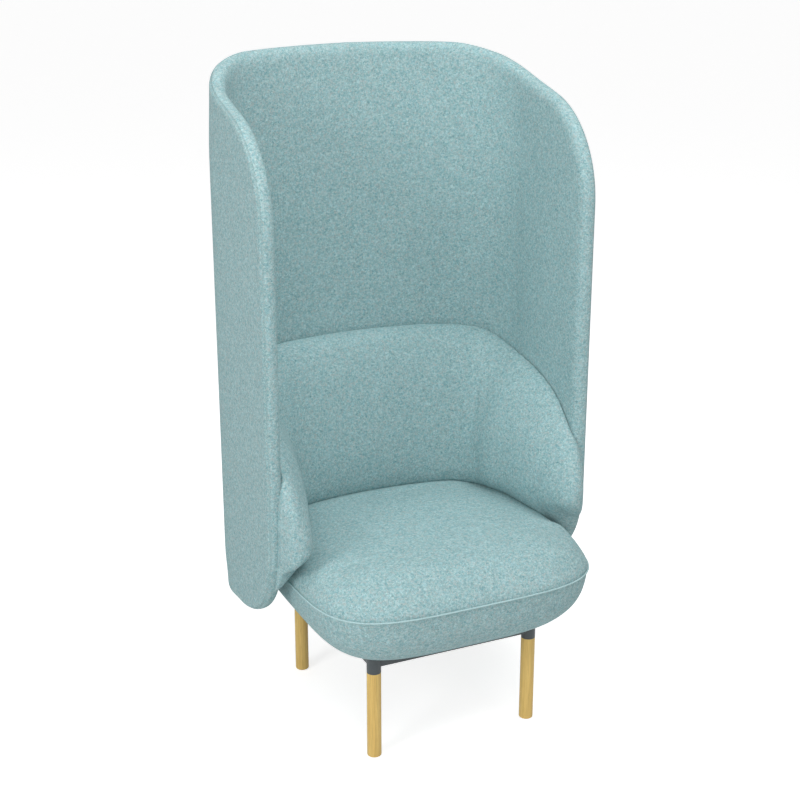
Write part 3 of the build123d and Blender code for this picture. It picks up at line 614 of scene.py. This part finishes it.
def seat_body():
    """Rings of the seat from the middle of its crown, over its seam and bowl, to the edge turned under it."""
    rings = []
    for rho in np.concatenate([[0.0], 1 - np.linspace(0.955, 0.0, 40) ** 1.7]):
        x, y = seat_loop(rho)
        rings.append(np.column_stack([x, y, seat_height(x, y, rho)]))
    for angle in np.radians(np.linspace(0, 90, 16))[1:]:
        x, y = seat_loop(1.0, BOWL_INSET * (1 - max(math.cos(angle), 0) ** (2 / BOWL_POWER)))
        drop = (SEAM_Z - BOWL_Z) * math.sin(angle) ** (2 / BOWL_POWER)
        rings.append(np.column_stack([x, y, np.full(len(x), SEAM_Z - drop)]))
    for inset, z in TURNED_EDGE:
        x, y = seat_loop(1.0, BOWL_INSET + inset)
        rings.append(np.column_stack([x, y, np.full(len(x), z)]))
    rings.append(np.tile([0.0, SEAT_Y, BOARD_Z], (SEAT_POINTS, 1)))
    return np.vstack(rings), loop_faces(len(rings), SEAT_POINTS)


seat = make_piece("seat_cushion", *seat_body(), upholstery)

WELT_R = 1.8
WELT_PROUD = 1.2
WELT_POINTS = 420
x, y = seat_loop(1.0, -WELT_PROUD, WELT_POINTS)
path = np.column_stack([x, y, np.full(len(x), SEAM_Z)])
ahead = np.roll(path, -1, 0) - np.roll(path, 1, 0)
ahead /= np.linalg.norm(ahead, axis=1)[:, None]
outwards = np.column_stack([ahead[:, 1], -ahead[:, 0], np.zeros(len(path))])
upwards = np.array([0, 0, 1])
rings = [path + WELT_R * (outwards * math.cos(a) + upwards * math.sin(a)) for a in CORD_TURNS]
faces = loop_faces(len(rings), WELT_POINTS, closed_rings=True)
welt = make_piece("seat_welt_cord", np.vstack(rings), faces, welt_felt)

# ----------------------------------------------------------------------------------- seat underside

CLOTH_HALF_X = 184.0
CLOTH_FRONT_Y = -209.0
CLOTH_BACK_Y = 166.0
CLOTH_CORNER_R = 54.0
CLOTH_Z = (233.1, 233.8)
CLOTH_GRID = 9.0
CLOTH_MARGIN = 6.0
PLATE_PLACE = (149.5, 115.0)
PLATE_SIZE = (65.0, 53.0)

# the bracket legs stand along rays from the bow's centre: angle, width of the opening, first radius, length
BRACKET_ANGLE = math.radians(6.1)
BRACKET_WIDTH = 63.0
BRACKET_START = 702.2
BRACKET_LENGTH = 150.0


def rounded_plan(half_x, front_y, back_y, radius, steps=10):
    """Points round a rectangle with rounded corners."""
    points = []
    corners = (half_x, back_y), (-half_x, back_y), (-half_x, front_y), (half_x, front_y)
    for quarter, (x, y) in enumerate(corners):
        centre = np.array([x - math.copysign(radius, x), y - (radius if y > 0 else -radius)])
        for a in np.linspace(0, math.pi / 2, steps) + quarter * math.pi / 2:
            points.append(centre + radius * np.array([math.cos(a), math.sin(a)]))
    return points


def lining_openings():
    """Openings in the cloth as (centre, angle, size): four for the plates and two for the bracket legs."""
    x, y = PLATE_PLACE
    openings = [((side * x, end * y), 0.0, PLATE_SIZE) for side in (-1, 1) for end in (-1, 1)]
    middle = BRACKET_START + BRACKET_LENGTH / 2
    for angle in (-BRACKET_ANGLE, BRACKET_ANGLE):
        centre = (middle * math.sin(angle), BOW_Y + middle * math.cos(angle))
        openings.append((centre, -angle, (BRACKET_WIDTH, BRACKET_LENGTH)))
    return openings


def turned(x, y, angle):
    """Plan vector (x, y) turned by an angle."""
    c, s = math.cos(angle), math.sin(angle)
    return x * c - y * s, x * s + y * c


def on_lining(p, openings):
    """Whether plan point p is inside the cloth's outline and outside its openings."""
    dx = max(abs(p[0]) - (CLOTH_HALF_X - CLOTH_CORNER_R), 0)
    dy = max(p[1] - (CLOTH_BACK_Y - CLOTH_CORNER_R), CLOTH_FRONT_Y + CLOTH_CORNER_R - p[1], 0)
    if math.hypot(dx, dy) > CLOTH_CORNER_R:
        return False
    for (cx, cy), angle, (width, length) in openings:
        x, y = turned(p[0] - cx, p[1] - cy, -angle)
        if abs(x) < width / 2 and abs(y) < length / 2:
            return False
    return True


def lining_sheet():
    """Points, faces and flat area of the cloth under the seat."""
    loops = [rounded_plan(CLOTH_HALF_X, CLOTH_FRONT_Y, CLOTH_BACK_Y, CLOTH_CORNER_R)]
    openings = lining_openings()
    for (cx, cy), angle, (w, l) in openings:
        corners = (-w / 2, -l / 2), (w / 2, -l / 2), (w / 2, l / 2), (-w / 2, l / 2)
        loops.append([np.array([cx, cy]) + turned(x, y, angle) for x, y in corners])
    points, edges = [], []
    for loop in loops:
        first = len(points)
        points += [Vector(p) for p in loop]
        edges += [(first + i, first + (i + 1) % len(loop)) for i in range(len(loop))]
    grid_y = np.arange(CLOTH_FRONT_Y + CLOTH_MARGIN, CLOTH_BACK_Y - CLOTH_MARGIN + 1, CLOTH_GRID)
    for x in np.arange(-CLOTH_HALF_X + CLOTH_MARGIN, CLOTH_HALF_X - CLOTH_MARGIN + 1, CLOTH_GRID):
        points += [Vector((x, y)) for y in grid_y]
    flat, _, triangles, *_ = delaunay_2d_cdt(points, edges, [], 0, 1e-4)
    flat = np.array([tuple(p) for p in flat])
    triangles = [t for t in triangles if on_lining(flat[list(t)].mean(0), openings)]
    used = sorted({i for t in triangles for i in t})
    place = {old: new for new, old in enumerate(used)}
    flat = flat[used]
    faces = [tuple(place[i] for i in t) for t in triangles]
    x, y = flat.T
    low, high = CLOTH_Z
    sag = 0.5 + 0.25 * np.sin(x / 61 + 0.7) + 0.25 * np.sin(y / 47 + 0.3 * np.sin(x / 30))
    area = 0.0
    for face in faces:
        (ax, ay), (bx, by), (cx, cy) = flat[list(face)]
        area += abs((bx - ax) * (cy - ay) - (cx - ax) * (by - ay)) / 2
    return np.column_stack([flat, high - (high - low) * sag]), faces, area


cloth_points, cloth_faces, cloth_area = lining_sheet()
underside = make_piece("seat_lining_cloth", cloth_points, cloth_faces, lining_cloth)

# ---------------------------------------------------------------------------------------------- tub

TUB_FACE_X = HALF_WIDTH - SCREEN_DEPTH
ARM_START_Y = 100.0
ARM_END_Y = -168.0

# backrest: thickness, and its face as (share of the thickness, share of the height above the widest place)
BACK_THICKNESS = 133.0
BACK_PROFILE = (
    (0, 0.985), (0.03, 0.998), (0.10, 1.0), (0.25, 0.985), (0.38, 0.945), (0.47, 0.895), (0.52, 0.855),
    (0.60, 0.74), (0.70, 0.57), (0.80, 0.39), (0.90, 0.20), (0.97, 0.06), (1, -0.02),
)

# its corners, on the back and on the side: place against the screen, and how far that moves at full thickness
CORNER_STARTS = (197.5, 45.5)
CORNER_STOPS = (144.0, 54.0)
CORNER_BLEND = 55.0

# height of the tub where it meets the screen, by arc length along the screen
CONTACT = (
    (0, 767), (193, 765), (261, 761), (333, 755), (411, 733), (449, 723), (503, 715), (565, 702), (628, 679),
    (671, 650), (711, 610), (734, 590), (749, 577), (776, 540),
)

# arm, by y: thickness, power of its superellipse face, and height of its lower edge
ARM_THICKNESS = ((-168, 51.6), (-113, 63.2), (-31, 88.6), (24, 99.5), (84, 117.5), (100, 120))
ARM_POWER = ((-168, 1.71), (-80, 1.8), (0, 1.9), (100, 2.02))
TUB_LOW = ((-168, 414.6), (-133, 408.9), (-105, 356.7), (-73, 346.6), (-20, 350), (60, 370), (200, 372))
BACK_LOW_Y = 150.0

# height of the widest place and power of the underside, on the back and on the arms, and how the foot of the
# backrest rolls under below a height
WIDE_Z = (435.0, 452.6)
UNDER_POWER = (1.6, 1.18)
FOOT_ROLL = 14.0
FOOT_ROLL_Z = (486.0, 420.0)

# nose: the arm narrows to an axis (u, z) from NOSE_Y on, its ridge and its outer side come free of the rim
# between two places (y), and its outer side is rounded with one power at its foot and one at its top
NOSE_Y = -98.0
NOSE_AXIS = (24.0, 466.0)
NOSE_POWER = 2.55
NOSE_RIDGE = 3.0
NOSE_FREE = (-104.0, -142.0)
NOSE_TOP_FREE = (-86.0, -122.0)
NOSE_LOW_FREE = 0.7
NOSE_ROUND = (3.0, 2.1)
NOSE_OVERHANG = 19.0
TUB_CLEARANCE = 0.8
SEAT_OVERLAP = 2.0

# points of a section, and how many of them are softened about the widest place
FACE_POINTS = 30
UNDER_POINTS = 14
WALL_POINTS = 14
WIDE_BLEND = 9
BLEND_PASSES = 22

# sections along an arm, and the power that crowds them towards its nose
ARM_SECTIONS = 54
ARM_CROWDING = 2.4


def even(points, count):
    """Points spaced evenly along a polyline."""
    points = np.asarray(points, float)
    run = np.concatenate([[0], np.cumsum(np.hypot(*np.diff(points, axis=0).T))])
    at = np.linspace(0, run[-1], count)
    return np.column_stack([np.interp(at, run, points[:, k]) for k in (0, 1)])


def arm_profile(power):
    """The arm's face as shares of its thickness and height, a quarter of a superellipse."""
    a = np.linspace(0, math.pi / 2, 200)
    return even(np.column_stack([np.sin(a) ** (2 / power), np.cos(a) ** (2 / power)]), FACE_POINTS)


def back_profile():
    """The backrest's face as shares of its thickness and height."""
    dense = np.linspace(0, 1, 200)
    return even(np.column_stack([dense, smooth_curve(dense, BACK_PROFILE)]), FACE_POINTS)


def corner_start(u):
    """Where the corner begins on the back, as an angle on the bow."""
    x, shift = CORNER_STARTS
    return np.arcsin((x - shift * u / BACK_THICKNESS) / (BOW_R - SCREEN_DEPTH - u))


def corner_stop(u):
    """Where the corner ends on the side, as y."""
    y, shift = CORNER_STOPS
    return y - shift * u / BACK_THICKNESS


def tub_place(p, u):
    """Plan point u inwards from the screen at path position p: back 0 to 1, corner 1 to 2, arm 2 to 3."""
    radius = BOW_R - SCREEN_DEPTH - u
    angle = corner_start(u)
    if p <= 1:
        return radius * np.sin(angle * p), BOW_Y + radius * np.cos(angle * p)
    start = np.column_stack([radius * np.sin(angle), BOW_Y + radius * np.cos(angle)])
    stop = np.column_stack([TUB_FACE_X - u, corner_stop(u)])
    if p <= 2:
        t = p - 1
        handle = 4 / 3 * np.tan((math.pi / 2 - angle) / 4)
        reach = (handle * (stop[:, 0] - start[:, 0]))[:, None]
        a = start + np.column_stack([np.cos(angle), -np.sin(angle)]) * reach
        b = stop + np.column_stack([0 * u, handle * (start[:, 1] - stop[:, 1])])
        bent = (1 - t) ** 3 * start + 3 * (1 - t) ** 2 * t * a + 3 * (1 - t) * t**2 * b + t**3 * stop
        first = angle * BOW_R
        last = side_arc(corner_stop(u))
        x, y = plan_point(first + (last - first) * t, SCREEN_DEPTH + u)
        share = smoothstep(0, CORNER_BLEND, u)
        return x + (bent[:, 0] - x) * share, y + (bent[:, 1] - y) * share
    return stop[:, 0], stop[:, 1] + (ARM_END_Y - stop[:, 1]) * (p - 2)


def path_arc(p):
    """Arc length along the screen at path position p."""
    first = float(corner_start(np.array([0.0]))[0]) * BOW_R
    return float(np.interp(p, (0, 1, 2, 3), (0, first, side_arc(CORNER_STOPS[0]), side_arc(ARM_END_Y))))


def wall_offset(y, z):
    """How far the arm's outer side bulges over the rim's inner rounding, by place along the screen's side."""
    centre_y, centre_z, reach_y, reach_z = BOTTOM_ARC
    a = np.maximum((centre_y - y) / reach_y, 1e-6)
    b = np.maximum(centre_z - z, 0) / reach_z
    total = a**BOTTOM_POWER + b**BOTTOM_POWER
    level = total ** (1 / BOTTOM_POWER)
    slope = np.hypot(a ** (BOTTOM_POWER - 1) / reach_y, b ** (BOTTOM_POWER - 1) / reach_z)
    steepness = total ** (1 / BOTTOM_POWER - 1) * slope
    inset = np.clip((1 - level) / steepness, 0, INNER_REACH)
    rounding = (1 - (1 - inset / INNER_REACH) ** INNER_POWER) ** (1 / INNER_POWER)
    depth = RIM_R + (SCREEN_DEPTH - RIM_R) * rounding
    return np.minimum(SCREEN_DEPTH - depth, NOSE_OVERHANG) - TUB_CLEARANCE


def foot_share(z):
    """How far the backrest's foot has rolled under at height z."""
    high, low = FOOT_ROLL_Z
    return np.clip((high - z) / (high - low), 0, 1) ** 2


def wall_side(y, low, top, start_low, start, free, top_free):
    """Side of the tub's section at y against the screen, as u and z from its foot to its ridge."""
    k = np.linspace(0, 1, WALL_POINTS + 1)[1:-1]
    k = k + free * 0.5 * (1 - np.cos(math.pi * k) - 2 * k)
    z = low + (top - low) * k
    if start_low == start == 0:
        # behind the backrest and its corners the side lies flat against the screen
        return 0 * k, z
    freed = free + (top_free - free) * k
    low_power, top_power = NOSE_ROUND
    power = low_power + (top_power - low_power) * smoothstep(0.4, 0.6, k)
    roundness = 1 - freed * (1 - (1 - np.abs(2 * k - 1) ** power) ** (1 / power))
    base = start_low + (start - start_low) * k
    return base - (base + wall_offset(y, z)) * roundness, z


def tub_section(p):
    """Closed section of the tub at path position p: face, underside and the side against the screen."""
    nominal_y = ARM_START_Y + (ARM_END_Y - ARM_START_Y) * (p - 2)
    on_arm = p > 2
    armward = float(smoothstep(1.6, 2.5, p))
    top = float(smooth_curve(path_arc(p), CONTACT))
    low = float(smooth_curve(nominal_y if on_arm else BACK_LOW_Y, TUB_LOW))
    wide_z = WIDE_Z[0] + (WIDE_Z[1] - WIDE_Z[0]) * armward
    free = top_free = start = start_low = 0.0
    if p < 2:
        arm_thickness = ARM_THICKNESS[-1][1]
        thickness = BACK_THICKNESS + (arm_thickness - BACK_THICKNESS) * float(smoothstep(1, 2, p))
        share = float(smoothstep(1.1, 2.0, p))
        profile = back_profile() * (1 - share) + arm_profile(ARM_POWER[-1][1]) * share
    else:
        thickness = float(smooth_curve(nominal_y, ARM_THICKNESS))
        profile = arm_profile(float(smooth_curve(nominal_y, ARM_POWER)))
        free = float(smoothstep(*NOSE_FREE, nominal_y))
        top_free = float(smoothstep(*NOSE_TOP_FREE, nominal_y))
    if on_arm:
        start = NOSE_RIDGE * top_free - float(wall_offset(nominal_y, top)) * (1 - top_free)
        start_low = -float(wall_offset(nominal_y, low)) * (1 - NOSE_LOW_FREE * free)
    face_u = start + profile[:, 0] * (thickness - start)
    face_z = wide_z + profile[:, 1] * (top - wide_z)
    power = UNDER_POWER[0] + (UNDER_POWER[1] - UNDER_POWER[0]) * armward
    turn = np.linspace(0, math.pi / 2, UNDER_POINTS + 1)[1:]
    under_u = start_low + (thickness - start_low) * np.maximum(np.cos(turn), 0) ** (2 / power)
    under_z = face_z[-1] - (face_z[-1] - low) * np.sin(turn) ** (2 / power)
    rolled = FOOT_ROLL * (1 - armward)
    face_u = face_u - rolled * foot_share(face_z)
    under_u = under_u - rolled * foot_share(face_z[-1]) * under_u / thickness
    wall_u, wall_z = wall_side(nominal_y, low, top, start_low, start, free, top_free)
    u = np.concatenate([face_u, under_u, wall_u])
    z = np.concatenate([face_z, under_z, wall_z])
    edge = slice(FACE_POINTS - 1 - WIDE_BLEND, FACE_POINTS + WIDE_BLEND)
    for _ in range(BLEND_PASSES):
        for line in (u, z):
            line[edge] += armward * ((np.roll(line, 1) + np.roll(line, -1)) / 2 - line)[edge] / 2
    if on_arm:
        beyond = min(max((NOSE_Y - nominal_y) / (NOSE_Y - ARM_END_Y), 0), 1)
        squeeze = (1 - beyond**NOSE_POWER) ** (1 / NOSE_POWER)
        u = NOSE_AXIS[0] + (u - NOSE_AXIS[0]) * squeeze
        z = NOSE_AXIS[1] + (z - NOSE_AXIS[1]) * squeeze
    x, y = tub_place(p, u)
    is_under = np.zeros(len(u), bool)
    is_under[FACE_POINTS - 1 : FACE_POINTS + UNDER_POINTS] = True
    z = np.where(is_under, np.maximum(z, seat_top(x, y) - SEAT_OVERLAP), z)
    return np.column_stack([x, y, z])


back_steps = np.linspace(0, 1, 13)
corner_steps = np.linspace(1, 2, 15)[1:]
arm_steps = 2 + (1 - (1 - np.linspace(0, 1, ARM_SECTIONS)[1:]) ** ARM_CROWDING)
sections = [tub_section(p) for p in (*back_steps, *corner_steps, *arm_steps)]
sections = [section * (-1, 1, 1) for section in sections[:0:-1]] + sections
faces = loop_faces(len(sections), len(sections[0]))
tub = make_piece("tub_cushion", np.vstack(sections), faces, upholstery)

# ----------------------------------------------------------------------------------------- stuffing

# voxel size in metres, then millimetres: the most that a point moves, and how far each piece starts drawn in
VOXEL = 0.005
PRESSURE = 4.0
LAST_FRAME = 20
CAP = 5.0
SEAT_DRAWN_IN = 4.0
TUB_DRAWN_IN = 1.2

# bounds, in millimetres, between which the surfaces go from held to free
SEAM_HOLD = (3, 30)
BOWL_HOLD_Z = (240, 275)
UNDER_ARM_X = (205, 250)
UNDER_ARM_Y = (-190, -140)
UNDER_BACK_Y = (95, 150)
SCREEN_HOLD = (6, 45)
SEAT_HOLD = (12, 60)
SEAT_LEVEL = 380.0


def bake(piece):
    """Applies the piece's modifiers to its mesh."""
    depsgraph = bpy.context.evaluated_depsgraph_get()
    mesh = bpy.data.meshes.new_from_object(piece.evaluated_get(depsgraph))
    piece.modifiers.clear()
    piece.data = mesh
    for face in mesh.polygons:
        face.use_smooth = True


def coordinates(mesh):
    """The mesh's points in metres, one row each."""
    flat = np.empty(len(mesh.vertices) * 3)
    mesh.vertices.foreach_get("co", flat)
    return flat.reshape(-1, 3)


def plump(piece, freedom, drawn_in):
    """Fills a cushion by cloth simulation: it starts drawn in and swells where it is free, up to CAP."""
    mesh = piece.data
    start = coordinates(mesh)
    normals = np.empty(len(start) * 3)
    mesh.vertex_normals.foreach_get("vector", normals)
    start = start - normals.reshape(-1, 3) * (freedom(start / MM) * drawn_in * MM)[:, None]
    mesh.vertices.foreach_set("co", start.ravel())
    mesh.update()
    remesh = piece.modifiers.new("remesh", "REMESH")
    remesh.mode = "VOXEL"
    remesh.voxel_size = VOXEL
    bake(piece)
    before = coordinates(piece.data)
    free = freedom(before / MM)
    held = piece.vertex_groups.new(name="held")
    for i, share in enumerate(1 - free):
        held.add([i], float(share), "REPLACE")
    cloth = piece.modifiers.new("stuffing", "CLOTH")
    cloth.settings.quality = 4
    cloth.settings.use_pressure = True
    cloth.settings.uniform_pressure_force = PRESSURE
    cloth.settings.vertex_group_mass = "held"
    cloth.settings.effector_weights.gravity = 0
    cloth.collision_settings.use_collision = False
    cloth.point_cache.frame_start = 1
    cloth.point_cache.frame_end = LAST_FRAME
    for number in range(1, LAST_FRAME + 1):
        scene.frame_set(number)
    depsgraph = bpy.context.evaluated_depsgraph_get()
    moved = coordinates(piece.evaluated_get(depsgraph).data) - before
    reach = np.linalg.norm(moved, axis=1)
    moved *= np.minimum(1, CAP * MM * free / np.maximum(reach, 1e-9))[:, None]
    piece.modifiers.clear()
    piece.vertex_groups.clear()
    piece.data.vertices.foreach_set("co", (before + moved).ravel())
    piece.data.update()
    smooth = piece.modifiers.new("smooth", "SMOOTH")
    smooth.factor = 0.5
    smooth.iterations = 2
    piece.modifiers.new("subdivide", "SUBSURF").levels = 1
    bake(piece)
    scene.frame_set(1)


def seat_freedom(p):
    """1 where the seat can swell: not at its seam, under the tub or on its board."""
    x, y, z = np.abs(p[:, 0]), p[:, 1], p[:, 2]
    under_arm = smoothstep(*UNDER_ARM_X, x) * smoothstep(*UNDER_ARM_Y, y)
    covered = np.maximum(under_arm, smoothstep(*UNDER_BACK_Y, y))
    off_seam = smoothstep(*SEAM_HOLD, np.abs(z - SEAM_Z))
    return off_seam * np.where(z > SEAM_Z, 1 - covered, 0.5 * smoothstep(*BOWL_HOLD_Z, z))


def tub_freedom(p):
    """1 where the tub can swell: not against the screen or on the seat."""
    x, y, z = np.abs(p[:, 0]), p[:, 1], p[:, 2]
    behind = BOW_R - SCREEN_DEPTH - np.hypot(x, y - BOW_Y)
    from_corner = np.hypot(np.maximum(x - CORNER_X, 0), np.maximum(y - CORNER_Y, 0))
    gap = np.minimum(behind, CORNER_R - SCREEN_DEPTH - from_corner)
    above = z - np.maximum(seat_top(x, y), SEAT_LEVEL)
    return smoothstep(*SCREEN_HOLD, gap) * smoothstep(*SEAT_HOLD, above)


plump(seat, seat_freedom, SEAT_DRAWN_IN)
plump(tub, tub_freedom, TUB_DRAWN_IN)

# ------------------------------------------------------------------------------------ what they are

for piece, slot, nodes in (
    (outer_cover, "upholstery", ["screen_outer_pad"]),
    (inner_cover, "upholstery", ["screen_inner_pad"]),
    (piping, "welt_fabric", ["screen_piping"]),
    (seat, "upholstery", ["seat_foam_top", "seat_foam_base"]),
    (welt, "welt_fabric", ["seat_welt"]),
    (tub, "upholstery", ["back_cushion", "arm_cushion_left", "arm_cushion_right"]),
    (underside, "lining_cloth", ["seat_underside_cloth"]),
):
    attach(piece, "root")
    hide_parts(*nodes)

finishes = {
    "leg_wood": wood("oiled_wood"),
    "plywood": plywood("birch_plywood"),
    "frame_paint": paint("slate_powder_coat"),
    "fastener_steel": steel("zinc_plated_steel"),
    "glide_plastic": plastic("glide_plastic"),
    "lining_cloth": lining_cloth,
    "upholstery": upholstery,
    "welt_fabric": welt_felt,
}
for entry in frame["record"]["subparts"]:
    node, finish = frame["nodes"][entry["node"]], finishes[entry["material_slot"]]
    if not node.material_slots:
        node.data.materials.append(finish)
    for place in node.material_slots:
        place.material = finish

# -------------------------------------------------------------------------- floor, light and camera

FLOOR_HALF = 30.0
FLOOR_LIFT = 0.66
WORLD_LIGHT = 0.36


def seen_rays(tree):
    """1 for camera and glossy rays, and 0 for the rays that light the object."""
    rays = tree.nodes.new("ShaderNodeLightPath")
    seen = tree.nodes.new("ShaderNodeMath")
    seen.operation = "MAXIMUM"
    tree.links.new(rays.outputs["Is Camera Ray"], seen.inputs[0])
    tree.links.new(rays.outputs["Is Glossy Ray"], seen.inputs[1])
    return seen.outputs[0]


def pale_floor():
    """Matt floor material that looks nearly white to the camera and still takes the object's shadow."""
    material = bpy.data.materials.new("pale_floor")
    material.use_nodes = True
    tree = material.node_tree
    shader = tree.nodes["Principled BSDF"]
    shader.inputs["Base Color"].default_value = grey(0.8)
    shader.inputs["Roughness"].default_value = 0.9
    shader.inputs["Specular IOR Level"].default_value = 0.1
    shader.inputs["Emission Color"].default_value = WHITE
    lift = tree.nodes.new("ShaderNodeMath")
    lift.operation = "MULTIPLY"
    lift.inputs[1].default_value = FLOOR_LIFT
    tree.links.new(seen_rays(tree), lift.inputs[0])
    tree.links.new(lift.outputs[0], shader.inputs["Emission Strength"])
    return material


floor_mesh = bpy.data.meshes.new("floor")
corners = [(x * FLOOR_HALF, y * FLOOR_HALF, 0) for x, y in ((-1, -1), (1, -1), (1, 1), (-1, 1))]
floor_mesh.from_pydata(corners, [], [(0, 1, 2, 3)])
floor_mesh.materials.append(pale_floor())
floor = bpy.data.objects.new("floor", floor_mesh)
scene.collection.objects.link(floor)

world = bpy.data.worlds.new("studio")
world.use_nodes = True
scene.world = world
background = world.node_tree.nodes["Background"]
background.inputs["Color"].default_value = WHITE
strength = world.node_tree.nodes.new("ShaderNodeMapRange")
strength.inputs["To Min"].default_value = WORLD_LIGHT
strength.inputs["To Max"].default_value = 1.0
world.node_tree.links.new(seen_rays(world.node_tree), strength.inputs["Value"])
world.node_tree.links.new(strength.outputs["Result"], background.inputs["Strength"])


def softbox(name, place, size, power):
    """A round area light that faces the middle of the object."""
    data = bpy.data.lights.new(name, "AREA")
    data.shape = "DISK"
    data.size = size
    data.energy = power
    lamp = bpy.data.objects.new(name, data)
    lamp.location = place
    lamp.rotation_mode = "QUATERNION"
    lamp.rotation_quaternion = (Vector((0, 0, 0.7)) - Vector(place)).to_track_quat("-Z", "Y")
    scene.collection.objects.link(lamp)


# name, place and size in metres, power in watts
LIGHTS = (
    ("overhead", (0.3, -0.9, 3.6), 3.2, 64),
    ("high_left", (-2.0, -1.6, 4.2), 2.4, 10),
    ("front_left", (-1.6, -3.8, 2.6), 2.4, 33),
    ("side_left", (-3.6, -1.6, 2.2), 1.8, 54),
)
for name, place, size, power in LIGHTS:
    softbox(name, place, size, power)

# camera: place in metres, and in radians how far it looks down and how far to the right of +Y
CAMERA_PLACE = (-1.2836, -2.6841, 1.6996)
PITCH = 0.326946620
HEADING = 0.438070557
LENS = 67.36
SENSOR = 36.0
camera_data = bpy.data.cameras.new("camera")
camera_data.sensor_width = SENSOR
camera_data.lens = LENS
camera = bpy.data.objects.new("camera", camera_data)
scene.collection.objects.link(camera)
camera.location = CAMERA_PLACE
level = math.cos(PITCH)
looking = Vector((math.sin(HEADING) * level, math.cos(HEADING) * level, -math.sin(PITCH)))
camera.rotation_mode = "QUATERNION"
camera.rotation_quaternion = looking.to_track_quat("-Z", "Y")
scene.camera = camera
scene.view_settings.view_transform = "Standard"
